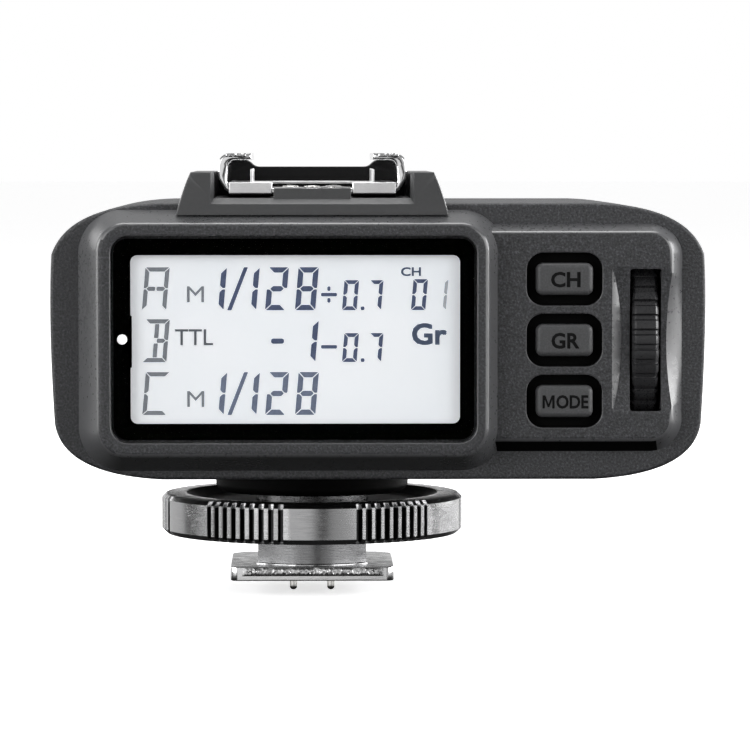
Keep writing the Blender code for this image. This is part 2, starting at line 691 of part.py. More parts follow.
def shoe_bracket():
    """The plastic base of the flash receiver, draped over the body's top rear edge."""
    half, top = NOTCH_HALF_WIDTH, BRACKET_TOP[1]
    notch = [(-half, top), (-half, NOTCH_FLOOR), (half, NOTCH_FLOOR), (half, top)]
    outline = bracket_side(-1) + notch + list(reversed(bracket_side(1)))
    bracket = slab("shoe_bracket", [outline], "Y", BRACKET_REAR_Y, BRACKET_FRONT_Y, "smooth_black")
    ledge, slope, shoulder, side = SHOULDER_X
    right = [(ledge, STOP_TOP), (slope, SHOULDER_TOP), (shoulder, SHOULDER_TOP)]
    right += [(side, SHOULDER_FOOT), (side, NOTCH_FLOOR - 1)]
    wall = right + [(-x, z) for x, z in reversed(right)]
    join(bracket, slab("stop_wall", [wall], "Y", RAIL_Y[1] + GAP, BRACKET_FRONT_Y))
    cut(
        bracket,
        slab("bracket_seat", [body_outline(-0.25)], "Y", REAR_Y - 0.25, BRACKET_FRONT_Y + 1),
        frame_body("bracket_frame_seat", -0.25),
    )


def receiver():
    """The stamped rails, the leaf spring on their floor, and the contact block sunk flush into it."""
    outer, sheet, (low, high), lip = RAIL_OUTER, RAIL_SHEET, RAIL_Z, LIP_EDGE
    half_outer = arc((outer - 0.9, low + 0.9), 0.9, -90, 0, 4)
    half_outer += arc((outer - 0.9, high - 0.9), 0.9, 0, 90, 4)
    half_inner = [(lip, high), (lip, high - sheet)] + arc((outer - 1.1, high - 1.1), 0.35, 90, 0, 2)
    half_inner += arc((outer - 1.1, low + 1.1), 0.35, 0, -90, 2)
    right = half_outer + half_inner
    left = [(-x, z) for x, z in reversed(right)]
    rails = slab("receiver_rails", [right + left], "Y", *RAIL_Y, "chrome")
    (block_x, block_rear), (block_right, block_front) = CONTACT_BLOCK_LOW, CONTACT_BLOCK_HIGH
    room_low = (block_x - GAP, block_rear - GAP, low - 1)
    cut(rails, box("contact_room", room_low, (block_right + GAP, block_front + GAP, low + 1)))
    leaf_low = low + sheet + GAP
    leaf_high = leaf_low + LEAF_SHEET
    far = RAIL_Y[1]
    edge = LEAF_X[1]
    spring = box("receiver_spring", (-edge, far - 3, leaf_low), (edge, far - 0.6, leaf_high), "chrome")
    tab_y = RAIL_Y[0] - GAP
    for side in (-1, 1):
        inner, outer_x = sorted((side * LEAF_X[0], side * LEAF_X[1]))
        join(
            spring,
            box(f"leaf_{side}", (inner, tab_y - 0.5, leaf_low), (outer_x, far - 2, leaf_high)),
            box(f"tab_{side}", (inner, tab_y - 0.5, low + 0.1), (outer_x, tab_y, leaf_high)),
        )
    pad_z = low + sheet
    base = box("contact_block", (*CONTACT_BLOCK_LOW, low), (*CONTACT_BLOCK_HIGH, pad_z), "black")
    for i, (x, y) in enumerate(CONTACT_PLACES, 1):
        cut(base, rod(f"pad_hole_{i}", (x, y, pad_z), "Z", PAD_RADIUS + GAP, 2.5 * PAD_HEIGHT, sides=16))
        rod(f"receiver_contact_{i}", (x, y, pad_z), "Z", PAD_RADIUS, PAD_HEIGHT, "gold", 16)


def battery_bay():
    """The open tray for two AA cells, its contacts, and the hinged door on the left."""
    (left, right), (rear, front), (low, high) = TRAY_X, TRAY_Y, TRAY_Z
    end, floor = TRAY_END_WALL, TRAY_FLOOR_WALL
    tray = box("battery_tray", (left, rear, low), (right, front, high), "black")
    cut(tray, box("cell_room", (left - 1, rear + end, low + floor), (right - 1, front - end, high - floor)))
    box("battery_contact", *BATTERY_CONTACT, "steel", 0.15)
    pivot = (HINGE_X, HINGE_Y, sum(DOOR_Z) / 2)
    height = DOOR_Z[1] - DOOR_Z[0]
    leaf_low = (HINGE_X - 0.8, DOOR_Y[0], DOOR_Z[0])
    door = box("battery_door", leaf_low, (HINGE_X + 0.8, HINGE_Y - 0.2, DOOR_Z[1]), "shell", 0.25)
    join(door, rod("door_barrel", pivot, "Z", 1.0, height))
    cut(door, rod("door_bore", pivot, "Z", 0.65, 30.0, sides=16))
    put_origin(door, pivot)
    rod("door_pin", pivot, "Z", 0.45, height, "steel", 16)


def put_origin(made, pivot):
    """Moves a piece's origin to its pivot and leaves its shape where it is."""
    point = Vector(pivot) * MM
    made.data.transform(Matrix.Translation(made.location - point))
    made.location = point


def controls():
    """Test button, status lamp, side switches, port cover, sockets and case screws."""
    radius = TEST_BUTTON_RADIUS
    low, high = TEST_BUTTON_Z
    profile = [(0.0, high), (radius - 0.4, high), (radius, high - 0.4), (radius, low), (0.0, low)]
    turned("test_button", profile, (*TEST_BUTTON, 0), "key", 32)
    rod("status_lamp", (*LAMP, LAMP_MIDDLE_Z), "Z", LAMP_RADIUS, 2.2, "white", 20)
    lens = rounded_rect(*LENS_CENTRE, LENS_SIZE, 2.2)
    slab("assist_lens", [lens], "Y", FRONT_Y - 2.4, FRONT_Y - 0.4, "red")
    for name, y, z in SLIDERS:
        along, up = KNOB_HALF
        stem = STEM_HALF
        knob = box(name, (KNOB_X[0], y - along, z - up), (KNOB_X[1], y + along, z + up), "smooth_black", 0.25)
        join(knob, box(name + "_stem", (38.8, y - stem, z - stem), (KNOB_X[0] + 0.2, y + stem, z + stem)))
    cover_low = (PORT_COVER_X[0], PORT_Y[0] + GAP, PORT_Z[0] + GAP)
    cover = box("port_cover", cover_low, (PORT_COVER_X[1], PORT_Y[1] - GAP, PORT_Z[1] - GAP), "rubber", 0.25)
    put_origin(cover, (PORT_COVER_X[1], sum(PORT_Y) / 2, PORT_Z[0] + GAP))
    usb = box("usb_socket", USB_LOW, USB_HIGH, "steel", 0.3)
    mouth = [(edge + USB_SHEET, edge_far - USB_SHEET) for edge, edge_far in zip(USB_LOW, USB_HIGH)]
    cut(usb, box("usb_mouth", (USB_LOW[0] + 1, mouth[1][0], mouth[2][0]), (42.0, mouth[1][1], mouth[2][1])))
    sync = rod("sync_socket", SYNC_SOCKET, "X", SYNC_SOCKET_RADIUS, 5.8, "black")
    cut(sync, rod("sync_mouth", (SYNC_SOCKET[0] + 1.6, *SYNC_SOCKET[1:]), "X", 1.25, 6.0, sides=20))
    head, shank = SCREW_HEAD_RADIUS, SCREW_SHANK_RADIUS
    profile = [(0.0, 18.0), (shank, 18.0), (shank, 15.2), (head, 15.2), (head, 13.6), (0.0, 13.6)]
    for i, at in enumerate(CASE_SCREWS, 1):
        turned(f"case_screw_{i}", profile, (*at, 0), "steel", 16)


rear_cover()
front_housing()
display_stack()
keys()
select_dial()
main_board()
foot()
lock_parts()
pedestal()
shoe_bracket()
receiver()
battery_bay()
controls()
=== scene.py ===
"""Looks of a wireless flash trigger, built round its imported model.

The display faces -Y, +X is right of it and +Z is up. Shapes are written in millimetres and scaled where a
mesh is made. Pieces that stand for a CAD node keep its size and place; other nodes only get a better finish.
"""

import random
from math import atan, cos, hypot, pi, radians, sin, sqrt, tan

import bmesh
import bpy
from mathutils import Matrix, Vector


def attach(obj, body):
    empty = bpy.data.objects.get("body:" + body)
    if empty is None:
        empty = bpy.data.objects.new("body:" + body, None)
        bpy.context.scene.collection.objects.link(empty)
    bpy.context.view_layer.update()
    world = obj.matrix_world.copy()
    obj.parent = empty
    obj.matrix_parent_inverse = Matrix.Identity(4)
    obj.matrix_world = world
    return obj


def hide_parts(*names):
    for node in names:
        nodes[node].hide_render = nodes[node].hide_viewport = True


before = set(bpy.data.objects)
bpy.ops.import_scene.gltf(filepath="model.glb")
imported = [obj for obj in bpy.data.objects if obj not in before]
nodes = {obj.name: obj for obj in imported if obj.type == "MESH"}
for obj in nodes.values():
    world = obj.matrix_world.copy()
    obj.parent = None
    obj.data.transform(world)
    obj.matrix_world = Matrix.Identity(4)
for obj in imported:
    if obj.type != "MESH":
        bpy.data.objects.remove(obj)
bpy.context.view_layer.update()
scene = bpy.context.scene
random.seed(7)

MM = 0.001
GAP = 0.3

# Body, in the record's frame
BODY_X = 7.2
HALF_WIDTH = 36
BOTTOM, TOP = 12.95, 43.2
REAR_Y, SEAM_Y, FRONT_Y = -26, -8, 42
FRAME_Y, FRAME_X, FRAME_Z = -31, (-25.5, 21), (13.95, 42.45)
WINDOW_Y, WINDOW_X, WINDOW_Z = -30.3, (-21.5, 17.5), (17.6, 39.4)
LCD_X, LCD_Z = (-19.9, 16.1), (19, 37.7)
LCD_VIEW_X, LCD_VIEW_Z = (-19.68, 15.97), (19.35, 37.6)
ROW_BASES, INK = (31.61, 25.98, 20.24), 0.04
PANEL_Y, PANEL_X, PANEL_Z = -28.2, (16, 40.4), (16.05, 40.9)
KEY_X, KEY_Z, CAP_Y = 27.4, (34.95, 28.3, 21.65), -28.6
DIAL = (36.25, -17.8, 28.3)
RING_Z = (4.85, 9.45)
RAIL_Y, RAIL_OUTER, RAIL_Z = (-26.9, -5.3), 10.3, (44.1, 48.6)
DOOR_Y, DOOR_Z, HINGE = (6.9, 36.9), (19.2, 37.2), (-28, 37.6)
PORT_Y, PORT_Z = (16, 32), (19.6, 28.4)
TEST_BUTTON, LAMP = (8.5, 16), (-1, 16)
SLIDERS = (("power_switch", -4, 33.5), ("assist_switch", 8, 33.5))
CORNERS = ((-1, -1), (1, -1), (-1, 1), (1, 1))
LOCK_PIN_Y = 6.15
PINS = ((-2.15, -3.6), (2.15, -3.6), (-2.15, 3.6), (2.15, 3.6))
CASE_SCREWS = ((-18, 2), (32.4, 2), (-18, 33), (32.4, 33))


# Materials


class Graph:
    """A small wrapper that adds and wires shader nodes."""

    def __init__(self, tree):
        self.tree = tree

    def fill(self, socket, value):
        if hasattr(value, "is_linked"):
            self.tree.links.new(value, socket)
        else:
            socket.default_value = value

    def add(self, kind, **inputs):
        node = self.tree.nodes.new("ShaderNode" + kind)
        for key, value in inputs.items():
            self.fill(node.inputs[key.replace("_", " ")], value)
        return node

    def math(self, operation, *values, kind="Math"):
        made = self.add(kind)
        made.operation = operation
        for socket, value in zip(made.inputs, values):
            self.fill(socket, value)
        return made.outputs[0]

    def ramp(self, value, *stops):
        made = self.add("ValToRGB", Fac=value)
        while len(made.color_ramp.elements) < len(stops):
            made.color_ramp.elements.new(0.5)
        for element, (at, colour) in zip(made.color_ramp.elements, stops):
            element.position = at
            element.color = (*colour, 1)
        return made.outputs[0]


class Finish(Graph):
    """A material's nodes, with object coordinates and sizes in millimetres."""

    def __init__(self, name):
        self.material = bpy.data.materials.new(name)
        self.material.use_nodes = True
        super().__init__(self.material.node_tree)
        self.place = self.add("TexCoord").outputs["Object"]

    def noise(self, size, detail=2, stretch=(1, 1, 1), roughness=0.5):
        """Noise whose features are about size millimetres, times the stretch."""
        mapping = self.add("Mapping", Vector=self.place, Scale=[1 / (size * MM * s) for s in stretch])
        made = self.add("TexNoise", Vector=mapping.outputs[0], Scale=1, Detail=detail, Roughness=roughness)
        return made.outputs["Fac"]

    def range(self, value, low, high, new_low, new_high):
        made = self.add("MapRange", Value=value, From_Min=low, From_Max=high, To_Min=new_low, To_Max=new_high)
        return made.outputs[0]

    def vary(self, size, detail, low, high):
        """Noise between two values."""
        return self.range(self.noise(size, detail), 0.3, 0.7, low, high)

    def tint(self, size, detail, *stops):
        """Noise between colours."""
        return self.ramp(self.noise(size, detail), *stops)

    def bump(self, height, distance, **shaded_underside):
        return self.add("Bump", Height=height, Distance=distance * MM, Strength=1, **shaded_underside).outputs[0]

    def plug(self, base, roughness, **sockets):
        """Fills the shader's sockets, the two that every finish varies first."""
        shader = self.tree.nodes["Principled BSDF"]
        for key, value in {"Base Color": base, "Roughness": roughness, **sockets}.items():
            self.fill(shader.inputs[key.replace("_", " ")], value)
        return self.material


def moulded(name, colour, roughness, grain, grain_size, speckle=0.25, specular=0.5):
    """Plastic with an etched grain whose colour is paler on its peaks and darker in its pits, and an uneven gloss.
    """
    n = Finish(name)
    fine = n.noise(grain_size, 3, roughness=0.65)
    dark, light = ([c * (1 + share) for c in colour] for share in (-speckle, 1.6 * speckle))
    gloss = n.range(fine, 0.3, 0.7, roughness - 0.05, roughness + 0.07)
    return n.plug(
        n.ramp(fine, (0.32, dark), (0.55, colour), (0.72, light)),
        n.math("ADD", gloss, n.vary(grain_size * 28, 2, -0.03, 0.03)),
        Specular_IOR_Level=specular,
        Normal=n.bump(fine, grain),
    )


def metal(name, colour, roughness, streak, wave=0, direction=(1, 1, 1), tint=0.06):
    """Metal with drawn or turned streaks, waviness and handling marks."""
    n = Finish(name)
    lines, marks = n.noise(0.09, 3, direction), n.noise(1.6, 4, roughness=0.7)
    worn = n.range(marks, 0.35, 0.75, roughness, roughness + 0.08)
    height = n.bump(lines, 0.004 + 0.02 * streak)
    return n.plug(
        n.ramp(marks, (0.35, [c * (1 - tint) for c in colour]), (0.6, colour)),
        n.math("ADD", n.range(lines, 0.3, 0.7, -streak, streak), worn),
        Metallic=1,
        Normal=n.bump(n.noise(2.4, 1), wave, Normal=height) if wave else height,
    )


def screen_material():
    """The lit field, a little dimmer at its edges."""
    n = Finish("lcd_field")
    axes = n.add("SeparateXYZ", Vector=n.place)
    shares = []
    for axis, span, half in (("X", LCD_X, 18), ("Z", LCD_Z, 9.35)):
        share = n.math("DIVIDE", n.math("SUBTRACT", axes.outputs[axis], sum(span) / 2 * MM), half * MM)
        shares.append(n.math("ABSOLUTE", share))
    dim = n.range(n.math("MAXIMUM", *shares), 0.8, 1, 1, 0.93)
    glow = n.add("Mix")
    glow.data_type = "RGBA"
    n.fill(glow.inputs["Factor"], n.math("MULTIPLY", dim, n.range(n.noise(7), 0.2, 0.8, 0.97, 1.02)))
    n.fill(glow.inputs["A"], (0, 0, 0, 1))
    n.fill(glow.inputs["B"], (0.90, 0.92, 0.94, 1))
    return n.plug(
        n.tint(0.16, 1, (0.2, (0.83, 0.85, 0.88)), (0.8, (0.86, 0.88, 0.91))),
        n.vary(0.3, 2, 0.5, 0.6),
        Specular_IOR_Level=0.2,
        Emission_Color=glow.outputs["Result"],
        Emission_Strength=0.34,
    )


def ink_material(name, colour):
    n = Finish(name)
    light = [min(1, c * 1.25 + 0.01) for c in colour]
    return n.plug(
        n.tint(0.5, 2, (0.3, colour), (0.75, light)),
        n.vary(0.2, 2, 0.5, 0.65),
        Specular_IOR_Level=0.2,
        Emission_Color=(*colour, 1),
        Emission_Strength=0.6,
    )


def pane_material():
    """Clear, and coated against reflections."""
    n = Finish("clear_pane")
    colour = n.tint(9, 2, (0.3, (0.97, 0.98, 0.985)), (0.7, (1, 1, 1)))
    haze = n.range(n.noise(4, 4, roughness=0.7), 0.45, 0.75, 0, 0.02)
    return n.plug(colour, haze, Transmission_Weight=1, IOR=1.03)


def lens_material():
    n = Finish("red_lens")
    colour = n.tint(3, 2, (0.3, (0.22, 0.004, 0.006)), (0.7, (0.34, 0.008, 0.01)))
    return n.plug(colour, n.vary(1.2, 3, 0.06, 0.14), Coat_Weight=0.6, Coat_Roughness=0.04)


def board_material():
    """Solder mask over raised, lighter tracks."""
    n = Finish("circuit_board")
    tracks = n.add("TexBrick", Vector=n.place, Scale=260, Mortar_Size=0.03).outputs["Fac"]
    colour = n.ramp(tracks, (0.2, (0.012, 0.09, 0.04)), (0.8, (0.03, 0.18, 0.08)))
    return n.plug(colour, n.vary(0.6, 3, 0.25, 0.42), Normal=n.bump(tracks, 0.05))


def floor_material():
    n = Finish("studio_paper")
    return n.plug(
        n.tint(3, 4, (0.3, (0.93, 0.93, 0.935)), (0.7, (0.95, 0.95, 0.955))),
        n.vary(2, 2, 0.85, 0.95),
        Specular_IOR_Level=0.1,
        Emission_Color=(1, 1, 1, 1),
        Emission_Strength=0.66,
    )


GRAIN = moulded("grained_shell", (0.052, 0.053, 0.057), 0.48, 0.075, 0.25, 0.7)
# Smooth, glossier bevel finish, which is real, in a colour lighter than the grained shell, which is a painted sheen.
BEVEL_SHEEN = moulded("smooth_bevel_painted_sheen", (0.088, 0.089, 0.093), 0.3, 0.0012, 0.5, 0.08, 1)
BRACKET = moulded("bracket_plastic", (0.05, 0.051, 0.053), 0.4, 0.004, 0.4, 0.08, 0.8)
BLACK = moulded("black_plastic", (0.006, 0.006, 0.0065), 0.4, 0.01, 0.3, 0.15, 0.2)
# Near-black painted shade for the key wells, the dial slot, the panel's lower flank, the key sheet and the foot's
# boss.
SHADE_BLACK = moulded("painted_shade_black", (0.003, 0.003, 0.003), 0.6, 0.006, 0.3, 0.1, 0.06)
MASK = moulded("window_mask", (0.0006, 0.0006, 0.0006), 0.6, 0.002, 0.4, 0.1, 0)
RUBBER = moulded("rubber", (0.02, 0.02, 0.021), 0.72, 0.012, 0.22, 0.25, 0.35)
KEYCAP = moulded("key_plastic", (0.085, 0.086, 0.089), 0.4, 0.01, 0.2, 0.2)
WHEEL = moulded("wheel_plastic", (0.034, 0.034, 0.036), 0.28, 0.006, 0.18, 0.15)
WHITE = moulded("white_plastic", (0.86, 0.87, 0.88), 0.45, 0.004, 0.4, 0.04)
LAMP_LENS = moulded("lamp_lens", (0.62, 0.66, 0.62), 0.2, 0.002, 0.5, 0.03)
CHROME = metal("bright_plate", (0.84, 0.84, 0.845), 0.07, 0.02, 0.006, (8, 1, 1))
SPRING = metal("spring_strip", (0.95, 0.95, 0.955), 0.3, 0.03, 0, (9, 1, 1))
STEEL = metal("plain_steel", (0.6, 0.6, 0.61), 0.22, 0.06, 0, (14, 14, 1))
NECK = metal("turned_neck", (0.3, 0.3, 0.305), 0.24, 0.06, 0, (14, 14, 1))
RING = metal("ring_metal", (0.5, 0.5, 0.505), 0.18, 0.05, 0, (20, 20, 1))
# Near-black metal for the ring's grooves, a painted shade.
GROOVE_SHADE = metal("ring_groove_painted_shade", (0.045, 0.045, 0.046), 0.35, 0.05, 0, (20, 20, 1))
ROUGH_CUT = metal("sheared_metal", (0.84, 0.84, 0.845), 0.24, 0.05, 0, (1, 1, 4), 0.3)
GOLD = metal("contact_gold", (0.86, 0.63, 0.28), 0.16, 0.04, 0, (1, 6, 1))
NICKEL = metal("pin_nickel", (0.88, 0.87, 0.84), 0.1, 0.03, 0, (1, 1, 6))
RED = lens_material()
BOARD = board_material()
SCREEN = screen_material()
PANE = pane_material()
INK_BLUE = ink_material("segment_blue", (0.052, 0.066, 0.115))
INK_PALE = ink_material("segment_pale_blue", (0.1, 0.118, 0.165))
INK_GREY = ink_material("segment_grey", (0.14, 0.15, 0.165))
INK_SLATE = ink_material("segment_slate", (0.09, 0.112, 0.16))
INK_FAINT = ink_material("segment_faint", (0.28, 0.29, 0.31))
# The printed dot takes the segments' emission, which is a painted glow.
GLOWING_DOT = ink_material("dot_white_painted_glow", (0.9, 0.9, 0.9))


# Shapes


def arc(centre, radius, start, end, steps):
    """Points on an arc, with angles in degrees."""
    angles = [radians(start + (end - start) * i / steps) for i in range(steps + 1)]
    return [(centre[0] + radius * cos(a), centre[1] + radius * sin(a)) for a in angles]


def rect(u_range, v_range, radius, inset=0, steps=8):
    """A rounded rectangle's outline, moved inwards by an inset."""
    u0, u1 = u_range[0] + inset, u_range[1] - inset
    v0, v1 = v_range[0] + inset, v_range[1] - inset
    r = min(max(radius - inset, 0.12), 0.49 * (u1 - u0), 0.49 * (v1 - v0))
    middles = ((u1 - r, v1 - r), (u0 + r, v1 - r), (u0 + r, v0 + r), (u1 - r, v0 + r))
    return [p for i, middle in enumerate(middles) for p in arc(middle, r, 90 * i, 90 * i + 90, steps)]


def rect_at(u, v, size, radius, inset=0, steps=8):
    half = (size[0] / 2, size[1] / 2)
    return rect((u - half[0], u + half[0]), (v - half[1], v + half[1]), radius, inset, steps)


def bend(start, control, end, steps=20):
    """Points on a quadratic curve."""
    points = []
    for i in range(steps + 1):
        t = i / steps
        weights = ((1 - t) ** 2, 2 * t * (1 - t), t * t)
        points.append(tuple(sum(w * p[k] for w, p in zip(weights, (start, control, end))) for k in (0, 1)))
    return points


def soften(points, radius, closed=False, steps=4):
    """A polyline with its corners rounded; the radius is one number or one for each point."""
    made = []
    count = len(points)
    for i, point in enumerate(points):
        r = radius[i] if isinstance(radius, (list, tuple)) else radius
        if (not closed and i in (0, count - 1)) or r == 0:
            made.append(tuple(point))
            continue
        here = Vector(point)
        before, after = Vector(points[i - 1]) - here, Vector(points[(i + 1) % count]) - here
        reach = min(r, before.length * 0.48, after.length * 0.48)
        start, end = here + before.normalized() * reach, here + after.normalized() * reach
        for k in range(steps + 1):
            t = k / steps
            made.append(tuple(start * (1 - t) ** 2 + here * 2 * t * (1 - t) + end * t * t))
    return made


def quarter(steps):
    return [pi / 2 * i / steps for i in range(steps + 1)]


def pillow(low, high, edge, steps=4, far_edge=None):
    """A profile between two places on an axis whose ends are rounded by edge."""
    far_edge = edge if far_edge is None else far_edge
    near = [(low + edge - edge * cos(a), edge - edge * sin(a)) for a in quarter(steps)]
    far = [(high - far_edge + far_edge * cos(a), far_edge - far_edge * sin(a)) for a in quarter(steps)]
    return near + far[::-1]


def body_ring(inset=0):
    """The body's section: flat top and bottom, nearly straight sides and swept corners."""
    side, top, bottom = HALF_WIDTH - inset, TOP - inset, BOTTOM + inset
    run = side - 12.4 + inset / 2
    lower = bend((run, bottom), (side - 1.5, bottom + 0.55), (side - 0.65, 19.1))
    upper = bend((side - 0.35, 37.6), (side - 2.2, top - 0.3), (run, top))
    flank = bend(lower[-1], (side + 0.05, 31.7 - 1.5), upper[0], 10)[1:-1]
    right = lower + flank + upper
    return [(x + BODY_X, z) for x, z in right + [(-x, z) for x, z in reversed(right)]]


def along(axis, u, v, at):
    """A point from its place on an axis and two coordinates across it."""
    return {"X": (at, u, v), "Y": (u, at, v), "Z": (u, v, at)}[axis]


def link_new(name, data):
    made = bpy.data.objects.new(name, data)
    scene.collection.objects.link(made)
    return made


def new_mesh(shape, name, clean=True):
    if clean:
        bmesh.ops.remove_doubles(shape, verts=shape.verts, dist=0.0000005)
        bmesh.ops.recalc_face_normals(shape, faces=shape.faces)
    mesh = bpy.data.meshes.new(name)
    shape.to_mesh(mesh)
    shape.free()
    return link_new(name, mesh)


def evaluated_mesh(made):
    bpy.context.view_layer.update()
    return bpy.data.meshes.new_from_object(made.evaluated_get(bpy.context.evaluated_depsgraph_get()))


def curve_shape(curve):
    """A curve or a text as an editable mesh."""
    guide = link_new(curve.name, curve)
    shape = bmesh.new()
    shape.from_mesh(evaluated_mesh(guide))
    bpy.data.objects.remove(guide, do_unlink=True)
    return shape


def skin(name, rings, caps=True):
    """Quads between rings of (x, y, z) points, with flat ends."""
    shape = bmesh.new()
    rows = [[shape.verts.new(Vector(p) * MM) for p in ring] for ring in rings]
    count = len(rows[0])
    for near, far in zip(rows, rows[1:]):
        for i in range(count):
            j = (i + 1) % count
            shape.faces.new((near[i], near[j], far[j], far[i]))
    for row in (rows[0], rows[-1]) if caps else ():
        shape.faces.new(row)
    return new_mesh(shape, name)


def stack(name, outline_of, profile, axis="Y"):
    """Outlines at insets along an axis: profile points are (place on the axis, inset)."""
    return skin(name, [[along(axis, u, v, at) for u, v in outline_of(inset)] for at, inset in profile])


def brick(name, low, high, edge=0.15, corner=None, axis="Z"):
    """A block with rounded edges and corners between two points."""
    spans = list(zip(low, high))
    index = "XYZ".index(axis)
    u, v = [spans[i] for i in range(3) if i != index]
    corner = edge * 1.5 if corner is None else corner
    return stack(name, lambda inset: rect(u, v, corner, inset, 5), pillow(*spans[index], edge), axis)


def lathe(name, profile, centre=(0, 0, 0), steps=64, axis="Z"):
    """A (radius, height) profile turned about an axis, and closed on itself where it is hollow."""
    angles = [2 * pi * i / steps for i in range(steps)]
    rings = []
    for r, h in profile:
        ring = [along(axis, r * cos(a), r * sin(a), h) for a in angles]
        rings.append([Vector(p) + Vector(centre) for p in ring])
    if min(r for r, _ in profile) > 0.001:
        rings.append(rings[0])
    return skin(name, rings, False)


def rod(name, centre, axis, radius, length, edge=0.1, steps=32):
    """A round bar about its centre with softened rims."""
    half = length / 2
    profile = soften([(0, half), (radius, half), (radius, -half), (0, -half)], [0, edge, edge, 0])
    return lathe(name, profile, centre, steps, axis)


def hole(centre, radius, length, steps=32, axis="Z"):
    return rod("hole", centre, axis, radius, length, 0, steps)


def prism(name, outlines, axis, low, high, edge=0):
    """A filled outline, any inner outlines as holes, extruded with rounded rims."""
    curve = bpy.data.curves.new(name, "CURVE")
    curve.dimensions = "2D"
    curve.fill_mode = "BOTH"
    curve.extrude = ((high - low) / 2 - edge) * MM
    curve.bevel_depth = edge * MM
    curve.bevel_resolution = 1
    curve.offset = -edge * MM
    for outline in outlines:
        spline = curve.splines.new("POLY")
        spline.points.add(len(outline) - 1)
        spline.use_cyclic_u = True
        for point, (u, v) in zip(spline.points, outline):
            point.co = (u * MM, v * MM, 0, 1)
    shape = curve_shape(curve)
    for vertex in shape.verts:
        u, v, rise = vertex.co
        vertex.co = along(axis, u, v, (high + low) / 2 * MM + (-rise if axis == "Y" else rise))
    return new_mesh(shape, name)


def combine(target, operation, tools):
    """Applies Booleans to the target and removes the tools."""
    for tool in tools:
        boolean = target.modifiers.new(tool.name, "BOOLEAN")
        boolean.operation = operation
        boolean.solver = "EXACT"
        boolean.object = tool
    mesh = evaluated_mesh(target)
    target.modifiers.clear()
    target.data = mesh
    for tool in tools:
        bpy.data.objects.remove(tool, do_unlink=True)


def cut(target, *tools):
    combine(target, "DIFFERENCE", tools)


def fuse(target, *tools):
    combine(target, "UNION", tools)


def merge(name, parts):
    """Several loose shapes as one mesh, in one piece."""
    shape = bmesh.new()
    for part in parts:
        shape.from_mesh(part.data)
        bpy.data.objects.remove(part, do_unlink=True)
    return new_mesh(shape, name, False)


def dress(made, material, slot=None, *replaces, body="housing", angle=32, weighted=True):
    """Smooth shading with crisp edges, a finish and a body to ride on."""
    made.data.materials.clear()
    for each in material if isinstance(material, tuple) else (material,):
        made.data.materials.append(each)
    made.data.shade_smooth()
    made.data.set_sharp_from_angle(angle=radians(angle))
    if weighted:
        made.modifiers.new("weights", "WEIGHTED_NORMAL").keep_sharp = True
    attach(made, body)
    if replaces:
        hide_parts(*replaces)


def paint(made, choose):
    """Picks each face's finish from its centre in millimetres and its normal."""
    for face in made.data.polygons:
        face.material_index = choose(face.center / MM, face.normal)


def lettering(name, text, x_range, z_range, y_range, bold=0):
    """Flat letters that face -Y and fill the given ranges."""
    curve = bpy.data.curves.new(name, "FONT")
    curve.body = text
    curve.extrude = 0.5
    curve.offset = bold
    curve.resolution_u = 3
    shape = curve_shape(curve)
    spans = [(min(v.co[k] for v in shape.verts), max(v.co[k] for v in shape.verts)) for k in (0, 1)]
    for vertex in shape.verts:
        shares = [(vertex.co[k] - low) / (high - low) for k, (low, high) in enumerate(spans)]
        x, z = (low + (high - low) * share for (low, high), share in zip((x_range, z_range), shares))
        vertex.co = Vector((x, y_range[0] if vertex.co.z > 0 else y_range[1], z)) * MM
    return new_mesh(shape, name)


# Rear cover


def frame_outline(inset):
    x_range = (FRAME_X[0] + 0.31 * inset, FRAME_X[1] - 0.14 * inset)
    z_range = (FRAME_Z[0] + 0.09 * inset, FRAME_Z[1] + 0.2 * inset)
    return rect(x_range, z_range, 4.8, inset, 24)


def panel_outline(inset):
    return rect(PANEL_X, (PANEL_Z[0], PANEL_Z[1] + 0.35 * inset), 3.6, inset, 24)


def plateau(name, outline_of, top, bevel, edge):
    """A raised boss on the rear face with a sloping flank and a rounded rim."""
    profile = soften([(REAR_Y + 1.2, -0.3), (REAR_Y, 0), (top, bevel), (top, bevel + 1.5)], [0, 0, edge, 0])
    return stack(name, outline_of, profile)


def flared(name, outline_of, mouth, depth, flare):
    """A cutter that leaves a hole with a soft rim."""
    rim = [(mouth + flare - flare * cos(a), -flare + flare * sin(a)) for a in quarter(4)]
    return stack(name, outline_of, [(mouth - 1, -flare)] + rim + [(depth, 0)])


def scoop():
    """The finger dish round the dial: a trough across X that rolls over into the panel's flank."""
    half, deepest, count = 8, 0.8, 28
    radius = (half * half + deepest * deepest) / (2 * deepest)
    rings = []
    for i in range(count + 1):
        z = -half + 2 * half * i / count
        depth = max(0, sqrt(max(0, radius * radius - z * z)) - (radius - deepest))
        share = depth / deepest
        rim, floor = min(0.14, depth), PANEL_Y + depth + 0.001
        wall = 32.76 + (depth - rim) * 1.35
        edge, foot = 39.25 - 0.7 * share, (40.36, REAR_Y - 0.02)
        roll = bend((edge, floor), (edge + 0.55 * (foot[0] - edge), floor + 0.45 * (foot[1] - floor)), foot, 6)
        section = [
            (32.5, PANEL_Y - 1), (32.56, PANEL_Y), (32.64, PANEL_Y + rim * 0.3), (32.76, PANEL_Y + rim),
            (wall - 0.06 * share, floor - 0.2 * share), (wall + 0.1 * share, floor), *roll,
            (41.2, REAR_Y - 0.02), (41.2, PANEL_Y - 1),
        ]
        rings.append([(x, y, DIAL[2] + z) for x, y in section])
    return skin("scoop", rings)


